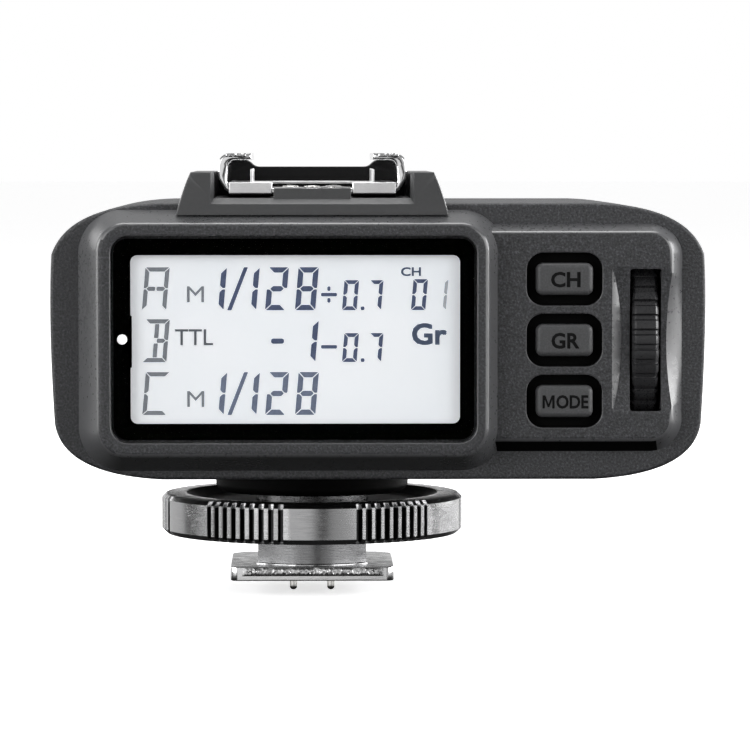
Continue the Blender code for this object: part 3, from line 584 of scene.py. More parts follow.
def rear_cover():
    """The rear shell with its display frame and control panel, as one moulding."""
    cover = stack("rear_shell", body_ring, pillow(REAR_Y, SEAM_Y, 0.4, 4, 0.15))
    fuse(
        cover,
        plateau("panel_boss", panel_outline, PANEL_Y, 1.3, 0.45),
        plateau("frame_boss", frame_outline, FRAME_Y, 1.75, 0.5),
    )
    cut(
        cover,
        stack("rear_hollow", body_ring, [(REAR_Y + 2, 2), (SEAM_Y + 1, 2)]),
        flared("window_seat", lambda i: rect(WINDOW_X, WINDOW_Z, 1.6, i - GAP), FRAME_Y, WINDOW_Y + 1.5, 0.14),
        stack("lcd_hole", lambda i: rect(WINDOW_X, WINDOW_Z, 1.3, i, 5), [(FRAME_Y, 0.4), (REAR_Y + 3, 0.4)]),
        stack("pocket", lambda i: rect((22.4, 33), (18.2, 38.6), 1, i, 4), [(PANEL_Y + 1.6, 0), (REAR_Y + 3, 0)]),
        scoop(),
        brick("slot", (34.55, PANEL_Y - 1, DIAL[2] - 7.75), (37.95, REAR_Y + 3, DIAL[2] + 7.75), 0.1, 0.25, "Y"),
        hole(DIAL, 11.5, 3.4, 64, "X"),
    )
    wells = [(lambda inset, z=z: rect_at(KEY_X, z, (8.2, 5.75), 1.8, inset)) for z in KEY_Z]
    cut(cover, *[flared("well", outline, PANEL_Y, PANEL_Y + 2.2, 0.16) for outline in wells])
    dress(cover, (GRAIN, BEVEL_SHEEN, SHADE_BLACK), "shell", "rear_cover")

    def finish(centre, normal):
        behind = centre.y > REAR_Y + 0.1
        by_key = abs(centre.x - KEY_X) < 4.3 and min(abs(centre.z - z) for z in KEY_Z) < 3.1
        # Well walls, dial slot walls and the panel's lower flank take the near-black painted shade.
        in_well = by_key and (behind or PANEL_Y + 0.2 < centre.y < REAR_Y - 0.05)
        by_dial = 34.4 < centre.x < 38.1 and abs(centre.z - DIAL[2]) < 8.2
        in_slot = by_dial and (behind or abs(normal.y) < 0.3 and centre.y > PANEL_Y + 0.9)
        # Sloping faces take the bevel finish, whose lighter colour is a painted sheen.
        sloping = centre.y < REAR_Y - 0.02 and -normal.y < 0.93
        shaded_underside = sloping and normal.z < -0.75 and 21 < centre.x < 37.5 and centre.z < 18
        return 2 if in_well or in_slot or shaded_underside else 1 if sloping else 0

    paint(cover, finish)


# Display


def marker_dot():
    """The white dot printed under the pane, left of the display; it glows, a painted glow, though no lamp lights it.
    """
    dress(rod("marker_dot", (-20.58, WINDOW_Y + 0.53, 28.5), "Y", 0.55, 0.03, 0.01), GLOWING_DOT, "white_plastic")


def window():
    """The clear pane and the black border printed under it."""
    pane = stack("window_pane", lambda i: rect(WINDOW_X, WINDOW_Z, 1.5, i), pillow(WINDOW_Y, WINDOW_Y + 0.5, 0.1, 3))
    dress(pane, PANE, "window", "display_window")
    opening = rect(LCD_VIEW_X, LCD_VIEW_Z, 0.75, 0, 6)
    left = LCD_VIEW_X[0]
    turn = next(i for i, (x, z) in enumerate(opening) if x < left + 0.01 and z < 31)
    opening[turn:turn] = [(left, 31.1), (left + 0.15, 31), (left + 0.15, 25.5), (left, 25.4)]
    outlines = [rect(WINDOW_X, WINDOW_Z, 1.5, 0.02, 6), opening]
    dress(prism("window_mask", outlines, "Y", WINDOW_Y + 0.56, WINDOW_Y + 0.7), MASK, "window")


SEGMENTS = {
    "0": "abcdef", "1": "bc", "2": "abged", "7": "abc", "8": "abcdefg",
    "A": "abcefhi", "B": "abcdijk", "C": "adef",
}
LETTER_M = (
    (0, 0), (0, 1), (0.24, 1), (0.5, 0.36), (0.76, 1), (1, 1), (1, 0), (0.8, 0), (0.8, 0.66), (0.57, 0.1),
    (0.43, 0.1), (0.2, 0.66), (0.2, 0),
)
FIGURE_FACE, FIGURE_LEAN = -28.7, 0.085
FIGURE_Y = FIGURE_FACE - INK - 0.01


def bar(points):
    return prism("bar", [points], "Y", FIGURE_Y, FIGURE_Y + INK)


def dash(x_range, low, high, radius=0.08, steps=2):
    return bar(rect(x_range, (low, high), radius, 0, steps))


def digit(char, left, base, width, height, stroke):
    """One seven-segment figure as mitred bars that lean to the right."""
    top, middle, centre = height, height / 2, width / 2
    half, gap = stroke / 2, stroke * 0.13
    near, far = stroke + gap, width - stroke - gap
    rail_low, rail_high = middle + gap, top - gap
    upright = [(0, rail_low), (half, rail_low), (stroke, rail_low + half)]
    upright += [(stroke, rail_high - stroke), (0, rail_high)]

    def level(shoulder, tip):
        return [(half + gap, middle), (near, middle + half), (shoulder, middle + half),
                (tip, middle), (shoulder, middle - half), (near, middle - half)]

    bars = {
        "a": [(gap, top), (width - gap, top), (far, top - stroke), (near, top - stroke)],
        "g": level(far, width - half - gap),
        "h": level(centre - gap * 2, centre - gap),
        "j": [(centre - half, rail_low + half), (centre + half, rail_low + half),
              (centre + half, rail_high - stroke), (centre - half, rail_high - stroke)],
        "f": upright,
    }
    for key, source in ("da", "ef", "kj"):
        bars[key] = [(x, top - z) for x, z in bars[source]]
    for key, source in ("bf", "ce", "ih"):
        bars[key] = [(width - x, z) for x, z in bars[source]]
    outlines = [[(left + x + z * FIGURE_LEAN, base + z) for x, z in bars[key]] for key in SEGMENTS[char]]
    return [bar(soften(points, stroke * 0.14, True, 2)) for points in outlines]


def words(text, x_range, z_range, bold):
    """A word laid down four times with small shifts, which thickens its strokes."""
    made = []
    for dx, dz in ((-bold, -bold), (bold, -bold), (-bold, bold), (bold, bold)):
        reach = [(low + bold + d, high - bold + d) for (low, high), d in ((x_range, dx), (z_range, dz))]
        made.append(lettering("word", text, *reach, (FIGURE_Y, FIGURE_Y + INK)))
    return made


def display():
    """The lit cell with its figures, and the tray behind it."""
    cell = brick("lcd_cell", (LCD_X[0], FIGURE_FACE, LCD_Z[0]), (LCD_X[1], -26.9, LCD_Z[1]), 0.06, 0.7, "Y")
    dress(cell, SCREEN, "screen", "lcd_panel")
    first, second, third = ROW_BASES
    blue, pale, grey, slate = [], [], [], []
    for base, letter in zip(ROW_BASES, "ABC"):
        grey += digit(letter, -18.47, base, 2.62, 4.66, 0.46)
    for base, group in ((first, blue), (third, pale)):
        for char, left in (("1", -11.85), ("1", -8.3), ("2", -5.14), ("8", -1.9)):
            group += digit(char, left, base, 2.2, 4.66, 0.58)
        slash = [(-9.24, base), (-8.78, base), (-6.98, base + 4.66), (-7.42, base + 4.66)]
        group.append(bar(soften(slash, 0.08, True, 2)))
        reach = ((-13.59, -11.75), (base + 0.87, base + 2.6), (FIGURE_Y, FIGURE_Y + INK))
        grey.append(lettering("mode_letter", "M", *reach))
    blue += digit("1", -1.9, second, 2.2, 4.55, 0.58)
    blue.append(dash((-4.49, -3.08), second + 2, second + 2.56, 0.24, 3))
    for base, height, rise in ((first, 3.25, 1.5), (second, 3.14, 1.46)):
        blue.append(dash((0.93, 2.66), base + rise, base + rise + 0.38))
        for char, left, width in (("0", 3.2, 1.58), ("7", 5.98, 1.45)):
            blue += digit(char, left, base, width, height, 0.42)
        blue.append(dash((5.24, 5.64), base, base + 0.4))
    blue += [dash((1.62, 1.95), first + lift, first + lift + 0.5) for lift in (0.82, 2.08)]
    blue += digit("0", 10.68, first, 1.56, 3.36, 0.42)
    faint = digit("1", 12.9, first, 1.56, 3.36, 0.34)
    grey += words("TTL", (-14.89, -10.77), (second + 1.84, second + 3.57), 0.01)
    slate += words("CH", (9.6, 11.76), (35.3, 36.27), 0.035)
    slate += words("Gr", (10.79, 14.58), (second + 1.84, second + 4.22), 0.09)
    groups = (
        ("lcd_figures", blue, INK_BLUE), ("lcd_pale_figures", pale, INK_PALE), ("lcd_letters", grey, INK_GREY),
        ("lcd_group_letters", slate, INK_SLATE), ("lcd_faint_figure", faint, INK_FAINT),
    )
    for name, parts, ink in groups:
        dress(merge(name, parts), ink, "screen", weighted=False)
    tray, room = (
        brick(name, (LCD_X[0] - rim, front, LCD_Z[0] - rim), (LCD_X[1] + rim, back, LCD_Z[1] + rim), edge, 0.3, "Y")
        for name, rim, front, back, edge in (
            ("display_tray", 0.8, -28.4, -23.4, 0.12), ("room", GAP, -30, -24.2, 0.1),
        )
    )
    cut(tray, room)
    dress(tray, WHITE, "white_plastic", "lcd_tray")


# Keys and dial


def key_caps():
    """Three caps with engraved labels whose letters are black inside as painted shade, their plungers and the
    switches under them.
    """
    labels = (("channel_key", "CH", 1.61, 1.7), ("group_key", "GR", 1.55, 1.75), ("mode_key", "ODE", 2.5, 1.5))
    label_y = (CAP_Y - 0.15, CAP_Y + 0.24)
    for z, (name, text, reach, tall) in zip(KEY_Z, labels):
        profile = pillow(CAP_Y, -27.1, 0.5, 6, 0.1)
        cap = stack(name + "_cap", lambda inset: rect_at(KEY_X, z, (6.2, 3.5), 0.75, inset * 1.15), profile)
        x, low = KEY_X + 0.1, z - 0.05 - tall / 2
        left, right = x - reach, x + reach
        engraved = []
        if text == "ODE":
            letter = [(left + 1.32 * u, low + 0.03 + (tall - 0.06) * v) for u, v in LETTER_M]
            engraved.append(prism("letter_m", [letter], "Y", *label_y))
            left += 1.5
        engraved.append(lettering("label", text, (left, right), (low, low + tall), label_y, 0.032))
        cut(cap, *engraved)
        fuse(cap, brick("stem", (KEY_X - 2.2, -27.3, z - 1.1), (KEY_X + 2.2, -23.4, z + 1.1), 0.1, 0.2, "Y"))
        dress(cap, (KEYCAP, BLACK), "keys", name, body=name, angle=28)

        # The engraved letters' floors and walls take black plastic, a painted shade.
        def shaded_letters(centre, normal):
            inside = abs(centre.x - x) < reach + 0.05 and abs(centre.z - z + 0.05) < tall / 2 + 0.05
            return 1 if inside and CAP_Y + 0.05 < centre.y < CAP_Y + 0.3 else 0

        paint(cap, shaded_letters)
        low, high = (KEY_X - 2, -22, z - 1.6), (KEY_X + 2, -20.6, z + 1.6)
        switch = brick(name + "_switch_case", low, high, 0.12, 0.3, "Y")
        nub = soften([(0, -22.6), (0.9, -22.6), (0.9, -21.8), (0, -21.8)], [0, 0.25, 0, 0])
        fuse(switch, lathe("dome", nub, (KEY_X, 0, z), 32, "Y"))
        dress(switch, STEEL, "plain_steel", name + "_switch")


def dial():
    """The thumb wheel: broad lands parted by paired grooves, with chamfered ends."""
    teeth, radius, half = 42, 11, 1.45
    pitch = 360 / teeth
    tooth = (
        (0, 0), (0.17, -0.02), (0.34, -0.02), (0.51, 0), (0.55, 0.4), (0.6, 0.46), (0.64, 0.34), (0.87, 0.34),
        (0.91, 0.46), (0.96, 0.4),
    )
    outline = [
        (radius - depth, radians(pitch * (i - 0.3 + share))) for i in range(teeth) for share, depth in tooth
    ]
    rim = ((0, 2.2), (0, 0.6), (0.06, 0.42), (0.2, 0.16), (0.38, 0), (0.9, 0))
    profile = [(DIAL[0] - half + run, chamfer) for run, chamfer in rim]
    profile += [(DIAL[0] + half - run, chamfer) for run, chamfer in reversed(rim)]
    rings = [
        [(at, (r - chamfer) * cos(a) + DIAL[1], (r - chamfer) * sin(a) + DIAL[2]) for r, a in outline]
        for at, chamfer in profile
    ]
    wheel = skin("thumb_wheel", rings)
    cut(wheel, hole(DIAL, 1.3, 8, axis="X"))
    dress(wheel, WHEEL, "smooth_black", "select_dial", body="select_dial", angle=40)


# Front housing


def front_housing():
    """The front shell with its openings, grip lines and screw counterbores."""
    profile = [(SEAM_Y + GAP, 0.18), (SEAM_Y + GAP + 0.15, 0.02), (-6, 0), (20, 0.05), (37.6, 0.3)]
    shell = stack("front_shell", body_ring, profile + bend((37.6, 0.3), (41.7, 0.7), (FRONT_Y, 4.8), 12)[1:])
    slots = []
    for _, y, z in SLIDERS:
        slots.append(brick("slider_slot", (40, y - 1.2, z - 1.2), (44, y + 3.7, z + 1.2), 0.1, 0.6, "X"))
        slots.append(brick("slider_dish", (43.02, y - 2.3, z - 1.9), (44.5, y + 4.8, z + 1.9), 0.1, 0.8, "X"))
    low, high = (-32, DOOR_Y[0] - GAP, DOOR_Z[0] - GAP), (-26, DOOR_Y[1] + GAP, DOOR_Z[1] + GAP)
    cut(
        shell,
        stack("front_hollow", body_ring, [(SEAM_Y - 1, 2), (37.6, 2.4), (FRONT_Y - 2, 5.5)]),
        brick("door_hole", low, high, 0.1, 0.5, "X"),
        hole((*HINGE, sum(DOOR_Z) / 2), 1.5, 18.6, 40),
        hole((0, 0, BOTTOM), 6.6, 8, 64),
        hole((*TEST_BUTTON, TOP), 4.3, 8, 64),
        hole((*LAMP, TOP), 1.5, 8, 40),
        stack("lens_hole", lambda i: rect_at(BODY_X, 28, (17, 9), 2.5, i), [(FRONT_Y - 4, 0), (FRONT_Y + 1, 0)]),
        brick("port_hole", (38.5, PORT_Y[0], PORT_Z[0]), (44, PORT_Y[1], PORT_Z[1]), 0.1, 0.9, "X"),
        *slots,
        *[hole((*at, BOTTOM), 1.7, 8, 40) for at in CASE_SCREWS],
    )
    grips = [-3 + i * 1.5 for i in range(7)]
    cut(shell, *[brick("grip", (-30, y, 22), (-28.35, y + 0.55, 35), 0.1, 0.2, "Y") for y in grips])
    dress(shell, GRAIN, "shell", "front_housing")


def small_controls():
    """Test button, lamp, lens and side switches."""
    dish = [(0, 44.35)] + bend((1.2, 44.36), (2.6, 44.42), (3.2, 44.6), 6) + [(4, 44.6), (4, 41.6), (0, 41.6)]
    button = lathe("test_button_cap", soften(dish, [0] * 8 + [0.35, 0.1, 0]), (*TEST_BUTTON, 0))
    dress(button, KEYCAP, "keys", "test_button", body="test_button")
    dome = soften([(0, 43.45), (1.2, 43.3), (1.2, 41.2), (0, 41.2)], [0, 0.2, 0.05, 0])
    dress(lathe("lamp_lens", dome, (*LAMP, 0), 40), LAMP_LENS, "white_plastic", "status_lamp")
    profile = pillow(FRONT_Y - 2.4, FRONT_Y - 0.4, 0.25)
    lens = stack("assist_lens_cover", lambda i: rect_at(BODY_X, 28, (16.4, 8.4), 2.2, i), profile)
    ribs = [[(x - 0.7, 39), (x, 39.6), (x + 0.7, 39)] for x in [0.8 + i * 1.6 for i in range(9)]]
    cut(lens, *[prism("rib", [rib], "Z", 24.6, 31.4) for rib in ribs])
    dress(lens, RED, "red_lens", "assist_lens")
    for name, y, z in SLIDERS:
        knob = brick(name + "_knob", (43.3, y - 1.6, z - 1.3), (44.3, y + 1.6, z + 1.3), 0.2, 0.35, "X")
        fuse(knob, brick("stem", (38.8, y - 0.9, z - 0.9), (43.5, y + 0.9, z + 0.9), 0.1, 0.2, "X"))
        starts = [y - 1.15 + i * 0.6 for i in range(4)]
        cut(knob, *[brick("groove", (44.12, at, z - 1.4), (44.6, at + 0.3, z + 1.4), 0.04, 0.08) for at in starts])
        dress(knob, WHEEL, "smooth_black", name, body=name)


def ports():
    """The rubber cover and the two sockets behind it."""
    low, high = (41.5, PORT_Y[0] + GAP, PORT_Z[0] + GAP), (43, PORT_Y[1] - GAP, PORT_Z[1] - GAP)
    cover = brick("port_flap", low, high, 0.22, 0.8, "X")
    cut(cover, brick("finger_nick", (42.6, 21.5, 27.2), (43.4, 26.5, 28.6), 0.15, 0.3, "X"))
    cut(cover, *[brick("seam", (42.85, 17.2, z), (43.4, 30.8, z + 0.22), 0.03, 0.05, "X") for z in (20.75, 26.6)])
    dress(cover, RUBBER, "rubber", "port_cover", body="port_cover")
    usb = brick("usb_shell", (35, 18, 22.2), (40.8, 25.2, 25.4), 0.12, 0.9, "X")
    cut(usb, brick("mouth", (36, 18.5, 22.7), (42, 24.7, 24.9), 0.1, 0.6, "X"))
    fuse(usb, brick("tongue", (35.9, 19.4, 23.6), (40.2, 23.8, 24.1), 0.08, 0.1, "X"))
    dress(usb, STEEL, "plain_steel", "usb_socket")
    jack = rod("sync_jack_shell", (37.9, 28.6, 23.8), "X", 2, 5.8, 0.15, 40)
    cut(jack, hole((39.5, 28.6, 23.8), 1.25, 6, axis="X"))
    dress(jack, BLACK, "black_plastic", "sync_socket")


def battery_door():
    """The hinged door with its ribs and an engraved arrow."""
    x, hinge_y = HINGE
    middle = sum(DOOR_Z) / 2
    door = brick("door_leaf", (x - 0.8, DOOR_Y[0], DOOR_Z[0]), (x + 0.8, hinge_y - 0.2, DOOR_Z[1]), 0.22, 0.6, "X")
    fuse(door, rod("barrel", (x, hinge_y, middle), "Z", 1, 18, 0.1, 40))
    cut(door, hole((x, hinge_y, middle), 0.65, 30, 24))
    ridges = [9 + i * 1.1 for i in range(5)]
    cut(door, *[brick("ridge", (x - 1.2, y, 24), (x - 0.55, y + 0.45, 32.4), 0.06, 0.12, "X") for y in ridges])
    arrow = [(-1.6, 0), (0.4, 1.7), (0.4, 0.6), (2.2, 0.6), (2.2, -0.6), (0.4, -0.6), (0.4, -1.7)]
    points = soften([(18.6 + u, middle + v) for u, v in arrow], 0.15, True, 2)
    cut(door, prism("arrow", [points], "X", x - 1.3, x - 0.6))
    dress(door, GRAIN, "shell", "battery_door", body="battery_door")


# Foot


def lock_ring():
    """The locking ring: smooth lobes between groups of ribs whose ends taper."""
    low, high = RING_Z
    lobes, ribs, radius, deep = 6, 9, 17.35, 0.75
    group = 360 / lobes
    lobe_half = group * 0.43 / 2
    rib_pitch = (group - 2 * lobe_half) / ribs
    groove = (
        (0.05, 0.1), (0.12, 0.55), (0.2, deep), (0.42, deep), (0.5, 0.55), (0.58, 0.12), (0.64, 0), (0.8, 0),
        (0.96, 0),
    )
    columns = []
    for lobe in range(lobes):
        centre = -90 + 3.6 + lobe * group
        columns += [(centre - lobe_half + 2 * lobe_half * i / 16, 0) for i in range(17)]
        for rib in range(ribs):
            start = centre + lobe_half + rib_pitch * rib
            shares = groove[:6] if rib == ribs - 1 else groove
            columns += [(start + rib_pitch * share, depth) for share, depth in shares]
    rings = []
    for angle, depth in columns:
        a = radians(angle)
        outer = radius - depth
        lip, half_lip = min(outer - 0.04, radius - 0.6), min(outer, radius - 0.3)
        shoulder = min(outer - 0.02, radius - 0.38)
        section = [
            (8.3, low), (lip - 0.3, low), (lip, low + 0.02), (half_lip, low + 0.3), (outer, low + 0.6),
            (outer, low + 0.72), (outer, (low + high) / 2), (outer, high - 0.7), (outer, high - 0.5),
            (shoulder, high - 0.08), (min(shoulder, 16.5) - 0.05, high), (14.9, high), (14.5, high),
            (14.35, high - 0.08),
            (12.5, high - 0.76), (12.3, high - 0.8), (6.6, high - 0.8), (6.45, high - 0.9), (6.45, 7.3),
            (8.25, 7.3), (8.3, 7.2),
        ]
        rings.append([(r * cos(a), r * sin(a), z) for r, z in section])
    ring = skin("ring_grip", rings + rings[:1], False)
    dress(ring, (RING, BLACK, GROOVE_SHADE), "ring_metal", "lock_ring", body="lock_ring", angle=30)

    def finish(centre, normal):
        # The inner dish, inside 14.45 mm, takes black plastic, a painted shade.
        reach = hypot(centre.x, centre.y)
        # Groove faces take near-black metal as painted shade.
        groove_shaded = 16 < reach < radius - 0.3 and low + 0.3 < centre.z < high - 0.7
        return 1 if reach < 14.45 and centre.z > 5 else 2 if groove_shaded else 0

    paint(ring, finish)


def pedestal():
    """The black boss between the body and the ring."""
    top, bottom = BOTTOM - GAP, 9.75
    outer = soften([(6.6, top), (11.1, top), (11.1, 10.3), (10.6, bottom), (6.6, bottom)], [0, 0.2, 0.3, 0.2, 0])
    # The boss is black plastic made darker than the other black parts, a painted shade under the body.
    dress(lathe("boss", outer, steps=96), SHADE_BLACK, "black_plastic", "foot_pedestal")


def neck_outline(grow, steps=24):
    half = 6.2 + grow
    across = [-half + 2 * half * i / steps for i in range(steps + 1)]
    bow = [(x, 7.4 + grow - x * x / 16) for x in across]
    return [(x, -y) for x, y in bow] + bow[::-1]


def camera_foot():
    """Neck, clamp disc, plate, insert, pins and screws."""
    screws = [(sx * 4.6, sy * 4.9) for sx, sy in CORNERS]
    neck = prism("neck_block", [neck_outline(0)], "Z", 1.72, 6.2, 0.06)
    fuse(neck, rod("stem", (0, 0, 8.6), "Z", 6.3, 6.8, 0.1, 64))
    threads = [hole((x, y, 0), 0.8, 10, 24) for x, y in screws]
    cut(neck, hole((0, 0, 7), 4.9, 20, 56), hole((0, LOCK_PIN_Y, 4), 0.95, 12, 24), *threads)
    dress(neck, NECK, "plain_steel", "foot_neck")
    clamp = prism("clamp_washer", [arc((0, 0), 8.7, 0, 357, 119), neck_outline(0.3)], "Z", 4.2, 4.7, 0.08)
    dress(clamp, BLACK, "black_plastic", "clamp_disc", body="clamp")
    hx, hy, far = 9.3, 9, 1.6
    outline = [(-hx, -hy + 0.5), (-hx + 0.5, -hy), (hx - 0.5, -hy), (hx, -hy + 0.5)]
    outline += [(hx, hy - far), (hx - far, hy), (-hx + far, hy), (-hx, hy - far)]
    plate = prism("shoe_plate", [soften(outline, 0.35, True, 3)], "Z", 0, 1.6, 0.14)
    fuse(plate, prism("plate_step", [neck_outline(0.15)], "Z", 0.8, 1.68))
    sink = [(0, 3), (0.9, 3), (0.9, 1.2), (1.55, 0.35), (1.55, -1), (0, -1)]
    sinks = [lathe("sink", sink, (x, y, 0), 32) for x, y in screws]
    cut(plate, hole((0, 0, 0), 4.9, 8, 56), hole((0, LOCK_PIN_Y, 0), 0.95, 8, 24), *sinks)
    dress(plate, (CHROME, NECK), "bright_steel", "foot_plate")
    # The plate's upward faces under the boss take the darker neck metal, a painted shade.
    paint(plate, lambda centre, normal: 1 if normal.z > 0.9 and centre.z > 1.5 else 0)
    strip = sheared_strip("plate_sheared_edge", (-8, 8.1), (0.55, 1.5), -9, 0.2, 150, 7)
    dress(strip, ROUGH_CUT, "bright_steel", angle=50)
    insert = rod("contact_insert", (0, 0, 1.7), "Z", 4.6, 3.2, 0.15, 56)
    cut(insert, hole((0, 0, 2), 1.1, 8), *[hole((x, y, 2), 0.65, 8, 20) for x, y in PINS])
    dress(insert, BLACK, "black_plastic", "foot_insert")
    spring_pin("sync_pin", 0, 0, 0.9, -0.4, GOLD)
    for i, (x, y) in enumerate(PINS, 1):
        spring_pin(f"data_pin_{i}", x, y, 0.45, -1.55, NICKEL)
    head = [(0, 4.2), (0.65, 4.2), (0.65, 1.1), (1.25, 0.45), (1.25, 0.15), (0, 0.15)]
    for i, (x, y) in enumerate(screws, 1):
        screw(f"foot_screw_{i}", x, y, soften(head, [0, 0.1, 0.1, 0.08, 0.08, 0]), 0, 0.75, 0.55)
    profile = soften([(0, 6.9), (0.8, 6.9), (0.8, 0.65), (0.5, 0.25), (0, 0.25)], [0, 0.08, 0.15, 0.1, 0])
    pin = lathe("lock_pin_rod", profile, (0, LOCK_PIN_Y, 0), 28)
    dress(pin, STEEL, "plain_steel", "lock_pin", body="lock_pin")


def screw(name, x, y, profile, base, length, depth):
    """A screw with a cross recess that opens downwards."""
    made = lathe(name + "_head", profile, (x, y, 0), 32)
    bars = ((length, 0.13), (0.13, length))
    cut(made, *[brick("bar", (x - u, y - v, base - 0.5), (x + u, y + v, base + depth), 0.03, 0.05) for u, v in bars])
    dress(made, STEEL, "plain_steel", name)


def spring_pin(node, x, y, radius, tip, material):
    """A sprung contact with a domed nose."""
    nose = [(radius * cos(a), tip + radius - radius * sin(a)) for a in quarter(7)]
    profile = [(0, 4.6), (radius, 4.6), (radius, tip + radius + 0.3)] + nose[:-1] + [(0, tip)]
    dress(lathe(node + "_tip", profile, (x, y, 0), 32), material, "contact_gold", node, body=node, angle=50)


def case_screws():
    profile = [(0, 18), (0.9, 18), (0.9, 15.2), (1.4, 15.1), (1.4, 13.7), (0, 13.6)]
    for i, (x, y) in enumerate(CASE_SCREWS, 1):
        screw(f"case_screw_{i}", x, y, soften(profile, [0, 0.1, 0.05, 0.1, 0.25, 0]), 13.6, 0.85, 0.7)


def sheared_strip(name, x_range, z_range, face_y, proud, columns, rows):
    """A rough strip on an edge that faces -Y, where the metal was sheared."""
    heights = [random.random() for _ in range(columns + 1)]
    (left, right), (low, high) = x_range, z_range
    rings = [[] for _ in range(columns + 1)]
    for j in range(rows + 1):
        for i, ring in enumerate(rings):
            u, v = i / columns, j / rows
            rim = min(1, 4 * v, 4 * (1 - v), 30 * u, 30 * (1 - u))
            rough = 0.55 * heights[(i + int(v * 5)) % (columns + 1)] + 0.45 * random.random()
            ring.append((left + (right - left) * u, face_y - 0.03 - proud * rough * rim, low + (high - low) * v))
    back = face_y + 0.2
    return skin(name, [ring + [(ring[0][0], back, high), (ring[0][0], back, low)] for ring in rings])


# Flash receiver


def bracket():
    """The saddle with two posts and a chamfered notch, and the stop behind the rails."""
    base, top = (14.85, 41.75), (13.2, 46.55)
    half, floor = 10.65, 43.75
    side = bend(base, (base[0] - 0.85, top[1] - 1.6), top, 14)

    def notch(half, low, high):
        return [(-half, high), (-half, low), (half, low), (half, high)]

    outline = [(-x, z) for x, z in side] + notch(half, floor, top[1]) + side[::-1]
    saddle = prism("receiver_saddle", [outline], "Y", -28.7, 1.5, 0.2)
    inner = notch(half, floor, top[1] + 1)
    rim = notch(half + 0.4, floor - 0.66, top[1] + 1)
    steps = ((-28.9, rim, 0), (-28.62, rim, 0), (-27.95, inner, 0), (-27.6, inner, 0.01))
    cut(saddle, skin("notch_bevel", [[(x, y, z + lift) for x, z in ring] for y, ring, lift in steps]))
    fuse(saddle, brick("sill", (-4.2, -28.05, floor - 0.5), (4.2, -27.15, 44.8), 0.08, 0.1, "Y"))
    cut(
        saddle,
        stack("seat", body_ring, [(REAR_Y - 0.25, -0.25), (2.5, -0.25)]),
        stack("frame_seat", frame_outline, [(REAR_Y + 1, -0.45), (REAR_Y, -0.25), (FRAME_Y, 1.5)]),
    )
    dress(saddle, BRACKET, "smooth_black", "shoe_bracket")
    right = [(6.5, 47.05), (7.2, 47.8), (9.3, 47.8), (10.7, 46), (10.7, floor - 0.02)]
    radii = [0.5, 0.5, 0.35, 0.3, 0]
    wall = soften([(-x, z) for x, z in reversed(right)] + right, radii[::-1] + radii, True)
    # The stop is the bracket's plastic, made black as painted shade behind the rails.
    dress(prism("receiver_stop", [wall], "Y", RAIL_Y[1] + GAP, 1.5, 0.12), BLACK, "smooth_black")


def rails():
    """A sheet folded up and over at both sides, with rough front edges."""
    outer, sheet, (low, high), lip = RAIL_OUTER, 0.75, RAIL_Z, 6.6
    right = [(outer - 1.7, low), (outer - 0.75, low + 0.55), (outer - 0.1, low + 1.7), (outer, low + 2.4)]
    right += arc((outer - 1.35, high - 1.35), 1.35, 5, 90, 8)
    right += [(lip, high), (lip, high - sheet)]
    right += arc((outer - 1.9, high - 1.45), 0.7, 90, 0, 5)
    right += arc((outer - 1.9, low + 1.6), 0.85, 0, -90, 5)
    half = [(0, low)] + right + [(0, low + sheet)]
    left = [(-x, z) for x, z in reversed(half[1:-1])]
    made = prism("rail_sheet", [half + left], "Y", *RAIL_Y, 0.26)
    cut(made, brick("contact_room", (-4.5, -22.3, low - 1), (4.5, -9.1, low + 1), 0.1, 0.6))
    dress(made, CHROME, "bright_steel", "receiver_rails", angle=60)
    face = RAIL_Y[0] + 0.02
    for name, x in (("left", -outer + 0.9), ("right", lip + 0.6)):
        strip = sheared_strip(f"rail_lip_{name}", (x, x + 2.2), (high - 0.42, high - 0.04), face, 0.12, 24, 4)
        dress(strip, ROUGH_CUT, "bright_steel", angle=50)


def rail_leaf():
    """The leaf spring, its two arms turned down in front, with upright blades beside them."""
    low = RAIL_Z[0]
    leaf_low, leaf_high = low + 1.05, low + 1.35
    far = RAIL_Y[1]
    tab_y = RAIL_Y[0] - GAP
    leaf = brick("leaf_spring", (-9, far - 3, leaf_low), (9, far - 0.6, leaf_high), 0.08, 0.2)
    for inner, outer in ((-9.1, -4.35), (4.35, 9.1)):
        arm = brick("arm", (inner, tab_y - 0.45, leaf_low), (outer, far - 2, leaf_high), 0.08, 0.25)
        tab = brick("tab", (inner, tab_y - 0.5, low + 0.1), (outer, tab_y, leaf_high), 0.14, 0.16)
        fuse(leaf, arm, tab)
    dress(leaf, SPRING, "bright_steel", "receiver_spring")
    for x, name in ((-6.6, "left"), (6.6, "right")):
        front, rear = (x - 0.13, RAIL_Y[0] - 0.1, leaf_high - 0.05), (x + 0.13, -12, 46.9)
        dress(brick(f"leaf_edge_{name}", front, rear, 0.06, 0.1, "Y"), SPRING, "bright_steel")
    crest = [
        (-4.2, 44.9), (-2.6, 44.94), (-1, 44.92), (-0.5, 44.72), (0, 44.6), (0.45, 44.74), (0.7, 44.92),
        (1.4, 45.02), (2.4, 45.12), (3.1, 44.98), (4.2, 44.9),
    ]
    points = soften(crest + [(x, z - 0.13) for x, z in reversed(crest)], 0.3, True, 2)
    dress(prism("contact_strip", [points], "Y", RAIL_Y[0] - 0.2, RAIL_Y[0] + 0.3, 0.03), SPRING, "bright_steel")


